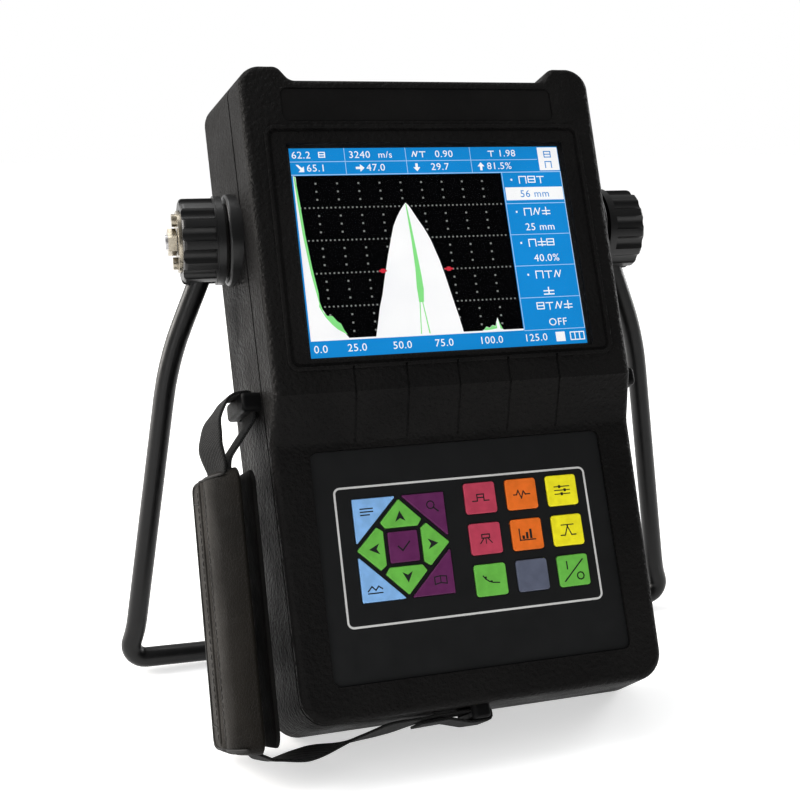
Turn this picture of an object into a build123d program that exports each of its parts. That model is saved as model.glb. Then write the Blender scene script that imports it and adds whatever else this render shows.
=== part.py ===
from build123d import *
import os
from math import atan, cos, sin, radians, degrees, sqrt

# Portable ultrasonic flaw detector leaning back on its bail.
#
# Case frame used below (millimetres): +X to the right of the display, +Y from
# the viewer into the case, +Z up along the case.  Y = 0 is the keypad face and
# Z = 0 the lower edge of the keypad panel.  Each finished piece is turned back
# by LEAN and lifted so that the floor is Z = 0 and the lower rear edge of the
# case rests along the X axis.

os.makedirs("parts", exist_ok=True)

# ---------------------------------------------------------------- dimensions
LEAN = 26.2               # the case leans back by this angle
FLOOR_DROP = 35.54        # case origin above the floor
REAR_STEP = 31.03         # case origin in front of the resting edge

FLARE = 0.16              # sides widen by this much per mm of depth
SLANT = degrees(atan(FLARE))
Y_DISPLAY = -13.2         # display plateau
Y_RAIL = -1.2             # rails around the keypad
Y_SPLIT = 2.4             # rear rim of the front cover
SEAL_T = 1.2              # seal between the covers
Y_REAR = Y_SPLIT + SEAL_T # front rim of the rear cover
Y_BACK = 48.0             # rear face
WALL = 2.6
REAR_EDGE = 8.0           # rounding of the rear face; the case rests on it

W_BOTTOM, W_WAIST, W_TOP = 72.7, 75.2, 77.4    # half widths at Y = 0
Z_BOTTOM, Z_WAIST, Z_DECK, Z_HORN = -12.7, 100.0, 240.6, 246.7
HORN_FOOT, HORN_CREST = 54.3, 58.9             # corner bumpers, half positions
Z_RIDGE, Z_FOOT = 109.5, 91.5                  # step between display and keypad

SCREEN_W, SCREEN_H, SCREEN_Z = 118.0, 89.0, 166.5
PANEL_W, PANEL_H, PANEL_Z = 120.7, 88.7, 44.35
PANEL_T = 1.5
FLOOR_T = 2.9             # cover floor behind the keypad panel

KEY_FRONT, KEY_TRAVEL = -0.7, 0.8
KEY_W, KEY_H = 13.3, 12.6
KEY_X = (6.09, 23.55, 41.01)
KEY_Z = (65.18, 49.04, 32.90)
NAV_X, NAV_Z = -27.4, 49.3

PIVOT_Y, PIVOT_Z = 20.0, 183.1
COLLAR_R, COLLAR_X = 18.8, 82.3
HUB_R, HUB_X0, HUB_X1 = 17.4, 83.7, 100.5
BOLT_R = 3.0
ROD_R = 4.4
BAIL_DY, BAIL_DZ = 0.4671, -0.8842             # from the pivot to the cross bar

LUG_Z, LUG_LEN, LUG_H = 111.5, 24.0, 7.5
LUG_MID = 16.5            # middle of a lug, into the depth
STRAP_W, STRAP_T = 18.0, 1.2


# ------------------------------------------------------------------- helpers
def face_at(y):
    """Plane parallel to the keypad: local X to the right, local Y up."""
    return Plane(origin=(0, y, 0), x_dir=(1, 0, 0), z_dir=(0, -1, 0))


def wall_plane(side, z, out=0.0):
    """Plane on a side wall: local X into the depth, local Z outward."""
    c, s = cos(radians(SLANT)), sin(radians(SLANT))
    w = W_BOTTOM + (z - Z_BOTTOM) * (W_WAIST - W_BOTTOM) / (Z_WAIST - Z_BOTTOM)
    if z > Z_WAIST:
        w = W_WAIST + (z - Z_WAIST) * (W_TOP - W_WAIST) / (Z_HORN - Z_WAIST)
    return Plane(origin=(side * (w + out * c), -out * s, z),
                 x_dir=(side * s, c, 0), z_dir=(side * c, -s, 0))


def underside_plane(x):
    """Plane on the bottom face: local X into the depth, local Z downward."""
    c, s = cos(radians(SLANT)), sin(radians(SLANT))
    return Plane(origin=(x, 0, Z_BOTTOM), x_dir=(0, c, -s), z_dir=(0, -s, -c))


def corners_at(sketch, x, z):
    """Corners of a sketch at half position x and height z."""
    return [v for v in sketch.vertices()
            if abs(abs(v.X) - x) < 0.02 and abs(v.Y - z) < 0.02]


def case_outline(sketch, grow):
    """Outer outline of the case with its two corner bumpers."""
    right = [(W_BOTTOM + grow, Z_BOTTOM - grow), (W_WAIST + grow, Z_WAIST),
             (W_TOP + grow, Z_HORN + grow), (HORN_CREST, Z_HORN + grow),
             (HORN_FOOT, Z_DECK + grow)]
    Polygon(*(right + [(-x, z) for x, z in reversed(right)]), align=None)
    for (x, z), r in zip(right, (11, 0, 9.5, 4.5, 4.5)):
        if r:
            fillet(corners_at(sketch, x, z), r)


def inner_outline(sketch, grow):
    """Plain outline of the space inside the case."""
    right = [(W_BOTTOM + grow, Z_BOTTOM - grow), (W_WAIST + grow, Z_WAIST),
             (W_TOP + grow, Z_DECK + grow)]
    Polygon(*(right + [(-x, z) for x, z in reversed(right)]), align=None)
    for (x, z), r in zip(right, (8, 0, 7)):
        if r:
            fillet(corners_at(sketch, x, z), r)


def key_outlines():
    """Name, corner points and corner radius of every key."""
    keys = []
    for r, z in enumerate(KEY_Z):
        for c, x in enumerate(KEY_X):
            a, b = KEY_W / 2, KEY_H / 2
            keys.append((f"key_r{r + 1}c{c + 1}",
                         [(x - a, z - b), (x + a, z - b), (x + a, z + b), (x - a, z + b)], 1.3))
    up = [(0, 18.7), (8.5, 10.0), (6.6, 7.4), (-6.6, 7.4), (-8.5, 10.0)]
    right = [(z, -x) for x, z in up]
    down = [(-x, -z) for x, z in up]
    left = [(-z, x) for x, z in up]
    for name, pts in (("key_up", up), ("key_right", right), ("key_down", down), ("key_left", left)):
        keys.append((name, [(NAV_X + x, NAV_Z + z) for x, z in pts], 0.7))
    keys.append(("key_enter", [(NAV_X + x, NAV_Z + z) for x, z in
                               ((-6.1, -6.1), (6.1, -6.1), (6.1, 6.1), (-6.1, 6.1))], 0.8))
    leg, w, h = 17.9, 18.6, 19.9
    for name, sx, sz in (("key_corner_tl", -1, 1), ("key_corner_tr", 1, 1),
                         ("key_corner_bl", -1, -1), ("key_corner_br", 1, -1)):
        keys.append((name, [(NAV_X + sx * w, NAV_Z + sz * h),
                            (NAV_X + sx * (w - leg), NAV_Z + sz * h),
                            (NAV_X + sx * w, NAV_Z + sz * (h - leg))], 0.5))
    return keys


KEYS = key_outlines()


def lean(piece):
    """Turn a finished piece into the standing attitude."""
    piece.move(Location((0, -REAR_STEP, FLOOR_DROP)) * Location((0, 0, 0), (-LEAN, 0, 0)))


# --------------------------------------------------------------- front cover
DISPLAY_POSTS = [(45, 222.8), (-45, 222.8), (45, 111.6), (-45, 111.6)]
BOARD_POSTS = [(57, 4.5), (-57, 4.5), (57, 84.5), (-57, 84.5)]
BOSSES = [(66, 228), (-66, 228), (67, 104), (-67, 104), (65.5, -2.8), (-65.5, -2.8)]

with BuildPart() as front_cover:
    for y in (Y_DISPLAY, Y_SPLIT):
        with BuildSketch(face_at(y)) as rim:
            case_outline(rim, FLARE * y)
    loft(ruled=True)
    # step from the display plateau down to the keypad rails
    with BuildSketch(Plane.YZ.offset(-120)) as step:
        Polygon((-30, Z_RIDGE), (Y_DISPLAY, Z_RIDGE), (Y_RAIL, Z_FOOT), (Y_RAIL, -40), (-30, -40), align=None)
        fillet(step.vertices().filter_by_position(Axis.Y, Z_RIDGE - 1, Z_RIDGE + 1).sort_by(Axis.X)[-1], 3.5)
        fillet(step.vertices().filter_by_position(Axis.Y, Z_FOOT - 1, Z_FOOT + 1).sort_by(Axis.X)[-1], 5)
    extrude(amount=240, mode=Mode.SUBTRACT)
    # softened rim all round the front
    rim_edges = [e for e in front_cover.edges()
                 if e.bounding_box().max.Y < Y_RAIL + 0.1
                 and not (e.bounding_box().size.X > 130 and 80 < e.bounding_box().min.Z < 115)]
    fillet(rim_edges, 3.0)
    # hollow behind the display
    with BuildSketch(Plane.YZ.offset(-70.5)) as hollow:
        Polygon((-9.6, 114.5), (-9.6, 235.5), (30, 235.5), (30, 95.5), (2.2, 95.5), align=None)
    extrude(amount=141, mode=Mode.SUBTRACT)
    # thick floor behind the keypad
    with BuildSketch(face_at(Y_SPLIT)):
        with Locations((0, 44.5)):
            RectangleRounded(130, 95, 4)
    extrude(amount=-(PANEL_T + FLOOR_T - Y_SPLIT))
    with BuildSketch(face_at(4.0)):
        with Locations(*BOARD_POSTS):
            Circle(2.3)
    extrude(amount=-3.5)
    # screw bosses and display posts
    with BuildSketch(face_at(-9.9)):
        with Locations(*BOSSES[:2]):
            Circle(4.2)
    extrude(amount=-21.7)
    with BuildSketch(face_at(-4.5)):
        with Locations(*BOSSES[2:4]):
            Circle(4.2)
    extrude(amount=-16.3)
    with BuildSketch(face_at(1.0)):
        with Locations(*BOSSES[4:]):
            Circle(4.2)
    extrude(amount=-10.8)
    with BuildSketch(face_at(-9.9)):
        with Locations(*DISPLAY_POSTS):
            Circle(3.0)
    extrude(amount=-6.2)
    # screen opening, window seat and display recess
    with BuildSketch(face_at(-20)):
        with Locations((0, SCREEN_Z)):
            RectangleRounded(SCREEN_W, SCREEN_H, 1.2)
    extrude(amount=-15, mode=Mode.SUBTRACT)
    with BuildSketch(face_at(-12.4)):
        with Locations((0, SCREEN_Z)):
            RectangleRounded(125.4, 96.4, 2)
    extrude(amount=-1.6, mode=Mode.SUBTRACT)
    with BuildSketch(face_at(-10.8)):
        with Locations((0, SCREEN_Z)):
            RectangleRounded(132.6, 100.8, 1)
    extrude(amount=-6, mode=Mode.SUBTRACT)
    # bead and groove around the screen
    with BuildSketch(face_at(Y_DISPLAY + 0.3)):
        with Locations((0, 168.2)):
            RectangleRounded(134.4, 100.6, 4.5)
            RectangleRounded(131.4, 97.6, 3.2, mode=Mode.SUBTRACT)
    extrude(amount=1.0)
    bead_edges = front_cover.edges().filter_by_position(Axis.Y, Y_DISPLAY - 0.75, Y_DISPLAY - 0.65)
    fillet(bead_edges, 0.45)
    with BuildSketch(face_at(Y_DISPLAY - 0.2)):
        with Locations((0, 168.2)):
            RectangleRounded(131.0, 97.2, 3.0)
            RectangleRounded(128.8, 95.0, 2.2, mode=Mode.SUBTRACT)
    extrude(amount=-0.75, mode=Mode.SUBTRACT)
    # shallow smooth name field, left bare
    with BuildSketch(face_at(Y_DISPLAY - 1)):
        with Locations((-1.0, 227.6)):
            RectangleRounded(116, 14.6, 3)
    extrude(amount=-1.4, mode=Mode.SUBTRACT)
    # five fine grooves running down over the step
    with BuildSketch(Plane.YZ.offset(-43.6)) as groove:
        Polygon((-14, 119.0), (Y_DISPLAY + 0.55, 119.0), (Y_DISPLAY + 0.55, 110.3), (-11.7, 108.0),
                (-1.4, 92.6), (-1.4, 90.5), (-6, 90.5), (-16, 106), align=None)
    groove_cut = extrude(amount=0.9, mode=Mode.PRIVATE)
    for x in (-42.0, -21.0, 0.0, 21.0, 42.0):
        add(groove_cut.moved(Location((x + 43.15, 0, 0))), mode=Mode.SUBTRACT)
    # keypad recess and key openings
    with BuildSketch(face_at(-5)):
        with Locations((0, PANEL_Z)):
            RectangleRounded(PANEL_W, PANEL_H, 3)
    extrude(amount=-(5 + PANEL_T), mode=Mode.SUBTRACT)
    for name, pts, radius in KEYS[:9]:
        with BuildSketch(face_at(1.0)):
            Polygon(*pts, align=None)
            offset(amount=1.1, kind=Kind.INTERSECTION)
        extrude(amount=-6, mode=Mode.SUBTRACT)
    with BuildSketch(face_at(1.0)):
        with Locations((NAV_X, NAV_Z)):
            RectangleRounded(39.6, 42.2, 2)
    extrude(amount=-6, mode=Mode.SUBTRACT)
    # screw holes
    with BuildSketch(face_at(2.0)):
        with Locations(*BOSSES):
            Circle(1.25)
    extrude(amount=-12, mode=Mode.SUBTRACT)
    with BuildSketch(face_at(-9.0)):
        with Locations(*DISPLAY_POSTS):
            Circle(0.95)
    extrude(amount=-8, mode=Mode.SUBTRACT)
    with BuildSketch(face_at(4.6)):
        with Locations(*BOARD_POSTS):
            Circle(0.95)
    extrude(amount=-4, mode=Mode.SUBTRACT)
lean(front_cover.part)
front_cover.part.label = "front_cover"
export_step(front_cover.part, "parts/front_cover.step")


# ---------------------------------------------------------------- rear cover
with BuildPart() as case_form:
    for y in (Y_DISPLAY, Y_BACK):
        with BuildSketch(face_at(y)) as rim:
            case_outline(rim, FLARE * y)
    loft(ruled=True)

with BuildPart() as rear_cover:
    for y in (Y_REAR, Y_BACK):
        with BuildSketch(face_at(y)) as rim:
            case_outline(rim, FLARE * y)
    loft(ruled=True)
    fillet(rear_cover.faces().sort_by(Axis.Y)[-1].edges(), REAR_EDGE)
    # space inside, with eased rear corners
    for y, ease in ((Y_REAR - 0.5, 0.0), (40.5, 0.0), (Y_BACK - WALL, 4.6)):
        with BuildSketch(face_at(y)) as room:
            inner_outline(room, FLARE * y - WALL - ease)
    loft(ruled=True, mode=Mode.SUBTRACT)
    # thicker top deck for the sockets, frame for the battery door
    with BuildSketch(face_at(10.5)):
        with Locations((0, 239.0)):
            Rectangle(104, 5.4)
    extrude(amount=-28.5)
    with BuildSketch(face_at(41.5)):
        with Locations((0, 45)):
            RectangleRounded(110, 86, 4)
    extrude(amount=-4.5)
    # case screw columns and pivot columns
    with BuildSketch(face_at(12.0)):
        with Locations(*BOSSES):
            Circle(4.9)
    extrude(amount=-34.4)
    with BuildSketch(Plane.YZ.offset(66.0)):
        with Locations((PIVOT_Y, PIVOT_Z)):
            Circle(4.2)
    extrude(amount=12.5)
    with BuildSketch(Plane.YZ.offset(-66.0)):
        with Locations((PIVOT_Y, PIVOT_Z)):
            Circle(4.2)
    extrude(amount=-12.5)
    # sunk deck between the corner bumpers
    with BuildSketch(face_at(13.0)):
        with Locations((0, 251.6)):
            RectangleRounded(98, 20, 2.5)
    extrude(amount=-23.5, mode=Mode.SUBTRACT)
    with BuildSketch(Plane.XY.offset(230)):
        with Locations((-19, 24.7), (19, 24.7)):
            Circle(4.9)
        with Locations((-39, 24.7)):
            Circle(4.1)
        with Locations((39, 24.7)):
            RectangleRounded(12.4, 6.6, 1.5)
    extrude(amount=16, mode=Mode.SUBTRACT)
    # battery bay mouth and seat of its door
    with BuildSketch(face_at(45.4)):
        with Locations((0, 45)):
            RectangleRounded(100, 76, 4)
    extrude(amount=-6, mode=Mode.SUBTRACT)
    with BuildSketch(face_at(38)):
        with Locations((0, 45)):
            RectangleRounded(84, 64, 2)
    extrude(amount=-12, mode=Mode.SUBTRACT)
    with BuildSketch(face_at(38)):
        with Locations(*[(sx * 46, 45 + sz * 34.6) for sx in (-1, 1) for sz in (-1, 1)]):
            Circle(1.2)
    extrude(amount=-12, mode=Mode.SUBTRACT)
    # case screw holes and pivot holes
    with BuildSketch(face_at(10)):
        with Locations(*BOSSES):
            Circle(1.7)
    extrude(amount=-50, mode=Mode.SUBTRACT)
    with BuildSketch(face_at(14.5)):
        with Locations(*BOSSES):
            Circle(3.5)
    extrude(amount=-50, mode=Mode.SUBTRACT)
    with BuildSketch(Plane.YZ.offset(-90)):
        with Locations((PIVOT_Y, PIVOT_Z)):
            Circle(BOLT_R)
    extrude(amount=180, mode=Mode.SUBTRACT)

# seal pinched between the covers
with BuildPart() as case_seal:
    with BuildSketch(face_at(Y_SPLIT)) as seal_ring:
        case_outline(seal_ring, FLARE * 3 - 0.8)
    extrude(amount=-SEAL_T)
    with BuildSketch(face_at(Y_SPLIT)) as seal_mouth:
        inner_outline(seal_mouth, FLARE * 3 - 3.0)
    extrude(amount=-SEAL_T, mode=Mode.SUBTRACT)
lean(case_seal.part)
case_seal.part.label = "case_seal"
export_step(case_seal.part, "parts/case_seal.step")

# ------------------------------------------------------------------- display
with BuildPart() as display_window:
    with BuildSketch(face_at(-12.35)):
        with Locations((0, SCREEN_Z)):
            RectangleRounded(125.0, 96.0, 1.8)
    extrude(amount=-1.5)
    chamfer(display_window.faces().sort_by(Axis.Y)[0].edges(), 0.2)
lean(display_window.part)
display_window.part.label = "display_window"
export_step(display_window.part, "parts/display_window.step")

with BuildPart() as lcd_module:
    with BuildSketch(face_at(-10.75)):
        with Locations((0, SCREEN_Z)):
            Rectangle(132, 100)
    extrude(amount=-6.9)
    with BuildSketch(face_at(-10.75)):
        with Locations((0, SCREEN_Z)):
            Rectangle(119, 90)
    extrude(amount=-0.2, mode=Mode.SUBTRACT)
    # driver board and plug on its back
    with BuildSketch(face_at(-3.9)):
        with Locations((0, 140)):
            Rectangle(84, 28)
    extrude(amount=-2.5)
lean(lcd_module.part)
lcd_module.part.label = "lcd_module"
export_step(lcd_module.part, "parts/lcd_module.step")

with BuildPart() as lcd_bracket:
    with BuildSketch(face_at(-3.6)):
        with Locations((0, 167.2)):
            RectangleRounded(120, 118, 3)
        with Locations((0, 166)):
            RectangleRounded(98, 84, 4, mode=Mode.SUBTRACT)
        with Locations(*DISPLAY_POSTS):
            Circle(1.4, mode=Mode.SUBTRACT)
        with Locations((54, 122), (-54, 122), (54, 214), (-54, 214)):
            Circle(1.3, mode=Mode.SUBTRACT)
    extrude(amount=-1.2)
lean(lcd_bracket.part)
lcd_bracket.part.label = "lcd_bracket"
export_step(lcd_bracket.part, "parts/lcd_bracket.step")

with BuildPart() as bracket_screws:
    with BuildSketch(face_at(-2.4)):
        with Locations(*DISPLAY_POSTS):
            Circle(2.3)
    extrude(amount=-1.5)
    with BuildSketch(face_at(-8.4)):
        with Locations(*DISPLAY_POSTS):
            Circle(0.95)
    extrude(amount=-6.2)
lean(bracket_screws.part)
bracket_screws.part.label = "bracket_screws"
export_step(bracket_screws.part, "parts/bracket_screws.step")

# -------------------------------------------------------------------- boards
with BuildPart() as board_spacers:
    with BuildSketch(face_at(-2.4)):
        with Locations((54, 122), (-54, 122), (54, 214), (-54, 214)):
            RegularPolygon(3.0, 6)
    extrude(amount=-10.4)
lean(board_spacers.part)
board_spacers.part.label = "board_spacers"
export_step(board_spacers.part, "parts/board_spacers.step")

with BuildPart() as main_board:
    with BuildSketch(face_at(8.0)):
        with Locations((0, 165)):
            RectangleRounded(116, 126, 2)
        with Locations((54, 122), (-54, 122), (54, 214), (-54, 214)):
            Circle(1.3, mode=Mode.SUBTRACT)
    extrude(amount=-1.6)
    # shielded pulser, processor, memory, coils and plugs
    with BuildSketch(face_at(9.5)):
        with Locations((-30, 200)):
            Rectangle(38, 30)
    extrude(amount=-7.5)
    with BuildSketch(face_at(9.5)):
        with Locations((12, 170)):
            Rectangle(24, 24)
    extrude(amount=-1.9)
    with BuildSketch(face_at(9.5)):
        with Locations((-20, 162), (-36, 162), (38, 165), (38, 148)):
            Rectangle(11, 8)
    extrude(amount=-1.4)
    with BuildSketch(face_at(9.5)):
        with Locations((36, 203)):
            Rectangle(22, 26)
    extrude(amount=-9)
    with BuildSketch(face_at(9.5)):
        with Locations((0, 108)):
            Rectangle(52, 5.5)
    extrude(amount=-7)
lean(main_board.part)
main_board.part.label = "main_board"
export_step(main_board.part, "parts/main_board.step")

# -------------------------------------------------------------------- keypad
with BuildPart() as keypad_panel:
    with BuildSketch(face_at(0)):
        with Locations((0, PANEL_Z)):
            RectangleRounded(PANEL_W - 0.4, PANEL_H - 0.4, 2.8)
    extrude(amount=-PANEL_T)
    for name, pts, radius in KEYS:
        with BuildSketch(face_at(-1)) as hole:
            Polygon(*pts, align=None)
            fillet(hole.vertices(), radius)
            offset(amount=0.1)
        extrude(amount=-5, mode=Mode.SUBTRACT)
lean(keypad_panel.part)
keypad_panel.part.label = "keypad_panel"
export_step(keypad_panel.part, "parts/keypad_panel.step")

switch_spots = []
for name, pts, radius in KEYS:
    collar = 0.8 if name.startswith("key_r") and name[5] in "123" and name[6] == "c" else 0.35
    mid = (sum(p[0] for p in pts) / len(pts), sum(p[1] for p in pts) / len(pts))
    switch_spots.append(mid)
    with BuildPart() as key:
        with BuildSketch(face_at(KEY_FRONT)) as cap:
            Polygon(*pts, align=None)
            fillet(cap.vertices(), radius)
            offset(amount=-0.15)
        extrude(amount=-(1.95 - KEY_FRONT))
        fillet(key.faces().sort_by(Axis.Y)[0].edges(), 0.35)
        with BuildSketch(face_at(1.9)) as flange:
            Polygon(*pts, align=None)
            fillet(flange.vertices(), radius)
            offset(amount=collar)
        extrude(amount=-0.9)
        with BuildSketch(face_at(2.7)):
            with Locations(mid):
                Circle(2.0)
        extrude(amount=-0.9)
    lean(key.part)
    key.part.label = name
    export_step(key.part, f"parts/{name}.step")

with BuildPart() as keypad_mat:
    with BuildSketch(face_at(4.6)):
        with Locations((0, 44.5)):
            RectangleRounded(122, 88, 3)
        with Locations(*BOARD_POSTS):
            Circle(2.6, mode=Mode.SUBTRACT)
    extrude(amount=-0.5)
lean(keypad_mat.part)
keypad_mat.part.label = "keypad_mat"
export_step(keypad_mat.part, "parts/keypad_mat.step")

with BuildPart() as keypad_board:
    with BuildSketch(face_at(7.5)):
        with Locations((0, 44.5)):
            RectangleRounded(122, 88, 3)
        with Locations(*BOARD_POSTS):
            Circle(1.3, mode=Mode.SUBTRACT)
    extrude(amount=-1.6)
    with BuildSketch(face_at(9.0)):
        with Locations((0, 80)):
            Rectangle(46, 5.5)
    extrude(amount=-5)
lean(keypad_board.part)
keypad_board.part.label = "keypad_board"
export_step(keypad_board.part, "parts/keypad_board.step")

with BuildPart() as key_switches:
    with BuildSketch(face_at(5.8)):
        with Locations(*switch_spots):
            Rectangle(5.2, 5.2)
    extrude(amount=-1.7)
    with BuildSketch(face_at(5.2)):
        with Locations(*switch_spots):
            Circle(1.5)
    extrude(amount=-0.7)
lean(key_switches.part)
key_switches.part.label = "key_switches"
export_step(key_switches.part, "parts/key_switches.step")

with BuildPart() as board_screws:
    with BuildSketch(face_at(9.1)):
        with Locations(*BOARD_POSTS):
            Circle(2.2)
    extrude(amount=-1.4)
    with BuildSketch(face_at(5.2)):
        with Locations(*BOARD_POSTS):
            Circle(0.95)
    extrude(amount=-4.2)
    with BuildSketch(face_at(9.6)):
        with Locations((54, 122), (-54, 122), (54, 214), (-54, 214)):
            Circle(2.2)
    extrude(amount=-1.4)
    with BuildSketch(face_at(8.0)):
        with Locations((54, 122), (-54, 122), (54, 214), (-54, 214)):
            Circle(1.3)
    extrude(amount=-1.7)
lean(board_screws.part)
board_screws.part.label = "board_screws"
export_step(board_screws.part, "parts/board_screws.step")

# ------------------------------------------------------- battery and its door
with BuildPart() as battery_pack:
    with BuildSketch(face_at(18.0)):
        with Locations((0, 45)):
            RectangleRounded(82, 62, 3)
    extrude(amount=-26.5)
    fillet(battery_pack.edges().filter_by(Axis.X), 2.0)
lean(battery_pack.part)
battery_pack.part.label = "battery_pack"
export_step(battery_pack.part, "parts/battery_pack.step")

DOOR_HOLES = [(sx * 46, 45 + sz * 34.6) for sx in (-1, 1) for sz in (-1, 1)]
with BuildPart() as battery_door:
    with BuildSketch(face_at(45.4)):
        with Locations((0, 45)):
            RectangleRounded(99.4, 75.4, 3.7)
    extrude(amount=-2.3)
    with BuildSketch(face_at(47.7)):
        with Locations(*[(0, 45 + d) for d in (-18, -12, -6, 0, 6, 12, 18)]):
            SlotOverall(60, 2.2)
    extrude(amount=0.7, mode=Mode.SUBTRACT)
    with BuildSketch(face_at(45)):
        with Locations(*DOOR_HOLES):
            Circle(1.6)
    extrude(amount=-4, mode=Mode.SUBTRACT)
    with BuildSketch(face_at(46.5)):
        with Locations(*DOOR_HOLES):
            Circle(2.9)
    extrude(amount=-4, mode=Mode.SUBTRACT)
lean(battery_door.part)
battery_door.part.label = "battery_door"
export_step(battery_door.part, "parts/battery_door.step")

with BuildPart() as door_screws:
    with BuildSketch(face_at(46.5)):
        with Locations(*DOOR_HOLES):
            Circle(2.7)
    extrude(amount=-1.2)
    with BuildSketch(face_at(41.7)):
        with Locations(*DOOR_HOLES):
            Circle(1.2)
    extrude(amount=-4.9)
    with BuildSketch(face_at(47.3)):
        with Locations(*DOOR_HOLES):
            Rectangle(3.4, 0.6)
            Rectangle(0.6, 3.4)
    extrude(amount=-1, mode=Mode.SUBTRACT)
lean(door_screws.part)
door_screws.part.label = "door_screws"
export_step(door_screws.part, "parts/door_screws.step")

with BuildPart() as case_screws:
    with BuildSketch(face_at(14.5)):
        with Locations(*BOSSES):
            Circle(2.8)
    extrude(amount=-2.4)
    with BuildSketch(face_at(4.6)):
        with Locations(*BOSSES):
            Circle(1.25)
    extrude(amount=-10)
    with BuildSketch(face_at(15.5)):
        with Locations(*BOSSES):
            RegularPolygon(1.3, 6)
    extrude(amount=-2, mode=Mode.SUBTRACT)
lean(case_screws.part)
case_screws.part.label = "case_screws"
export_step(case_screws.part, "parts/case_screws.step")

# ------------------------------------------------------- sockets on top deck
DECK_Z = 241.6
for name, x in (("probe_socket_left", -19.0), ("probe_socket_right", 19.0)):
    with BuildPart() as socket:
        with Locations((x, 24.7, 226.0)):
            Cylinder(4.85, 15.6, align=(Align.CENTER, Align.CENTER, Align.MIN))
        with BuildSketch(Plane.XY.offset(DECK_Z)):
            with Locations((x, 24.7)):
                RegularPolygon(7.2, 6)
        extrude(amount=2.2)
        with Locations((x, 24.7, DECK_Z)):
            Cylinder(4.8, 10.4, align=(Align.CENTER, Align.CENTER, Align.MIN))
        with Locations((x, 24.7, DECK_Z + 2.2)):
            Cylinder(4.0, 10, align=(Align.CENTER, Align.CENTER, Align.MIN), mode=Mode.SUBTRACT)
            Cylinder(1.0, 6.6, align=(Align.CENTER, Align.CENTER, Align.MIN))
        with Locations((x, 24.7, DECK_Z + 7.6)):
            with Locations(Location((0, 0, 0), (0, 90, 0))):
                Cylinder(0.9, 12.0)
                Cylinder(0.95, 8.0, mode=Mode.SUBTRACT)
    lean(socket.part)
    socket.part.label = name
    export_step(socket.part, f"parts/{name}.step")

with BuildPart() as power_socket:
    with Locations((-39, 24.7, 230.0)):
        Cylinder(4.05, 11.6, align=(Align.CENTER, Align.CENTER, Align.MIN))
    with Locations((-39, 24.7, DECK_Z)):
        Cylinder(5.8, 1.6, align=(Align.CENTER, Align.CENTER, Align.MIN))
    with Locations((-39, 24.7, 233.0)):
        Cylinder(2.8, 20, align=(Align.CENTER, Align.CENTER, Align.MIN), mode=Mode.SUBTRACT)
        Cylinder(0.8, 8.6, align=(Align.CENTER, Align.CENTER, Align.MIN))
lean(power_socket.part)
power_socket.part.label = "power_socket"
export_step(power_socket.part, "parts/power_socket.step")

with BuildPart() as data_socket:
    with BuildSketch(Plane.XY.offset(230)):
        with Locations((39, 24.7)):
            RectangleRounded(12.2, 6.4, 1.4)
    extrude(amount=DECK_Z + 0.6 - 230)
    with BuildSketch(Plane.XY.offset(234)):
        with Locations((39, 24.7)):
            RectangleRounded(9.4, 3.4, 1.6)
    extrude(amount=12, mode=Mode.SUBTRACT)
    with BuildSketch(Plane.XY.offset(233)):
        with Locations((39, 24.7)):
            Rectangle(6.8, 0.8)
    extrude(amount=7)
lean(data_socket.part)
data_socket.part.label = "data_socket"
export_step(data_socket.part, "parts/data_socket.step")

# ------------------------------------------------------------- pivots of bail
for name, side in (("pivot_collar_left", -1), ("pivot_collar_right", 1)):
    with BuildPart() as collar:
        with BuildSketch(Plane.YZ.offset(side * COLLAR_X)):
            with Locations((PIVOT_Y, PIVOT_Z)):
                Circle(COLLAR_R)
        extrude(amount=-side * 9.5)
        fillet(collar.edges().filter_by(GeomType.CIRCLE).sort_by(Axis((0, 0, 0), (side, 0, 0)))[-1], 1.2)
        add(case_form.part, mode=Mode.SUBTRACT)
        with BuildSketch(Plane.YZ.offset(side * 60)):
            with Locations((PIVOT_Y, PIVOT_Z)):
                Circle(BOLT_R)
        extrude(amount=side * 30, mode=Mode.SUBTRACT)
    lean(collar.part)
    collar.part.label = name
    export_step(collar.part, f"parts/{name}.step")

with BuildPart() as pivot_bolts:
    for side in (-1, 1):
        with BuildSketch(Plane.YZ.offset(side * 62.0)):
            with Locations((PIVOT_Y, PIVOT_Z)):
                RegularPolygon(5.0, 6)
        extrude(amount=side * 4.0)
        with BuildSketch(Plane.YZ.offset(side * 65.9)):
            with Locations((PIVOT_Y, PIVOT_Z)):
                Circle(BOLT_R)
        extrude(amount=side * 40.5)
lean(pivot_bolts.part)
pivot_bolts.part.label = "pivot_bolts"
export_step(pivot_bolts.part, "parts/pivot_bolts.step")

with BuildPart() as pivot_nuts:
    for side in (-1, 1):
        with BuildSketch(Plane.YZ.offset(side * 102.0)):
            with Locations((PIVOT_Y, PIVOT_Z)):
                RegularPolygon(5.6, 6)
                Circle(BOLT_R, mode=Mode.SUBTRACT)
        extrude(amount=side * 3.4)
lean(pivot_nuts.part)
pivot_nuts.part.label = "pivot_nuts"
export_step(pivot_nuts.part, "parts/pivot_nuts.step")

with BuildPart() as friction_washers:
    for side in (-1, 1):
        with BuildSketch(Plane.YZ.offset(side * COLLAR_X)):
            with Locations((PIVOT_Y, PIVOT_Z)):
                Circle(15.0)
                Circle(BOLT_R + 0.1, mode=Mode.SUBTRACT)
        extrude(amount=side * 1.2)
lean(friction_washers.part)
friction_washers.part.label = "friction_washers"
export_step(friction_washers.part, "parts/friction_washers.step")

# ---------------------------------------------------------------------- bail
BAIL_PLANE = Plane(origin=(0, PIVOT_Y, PIVOT_Z), x_dir=(1, 0, 0), z_dir=(0, -BAIL_DZ, BAIL_DY))


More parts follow.
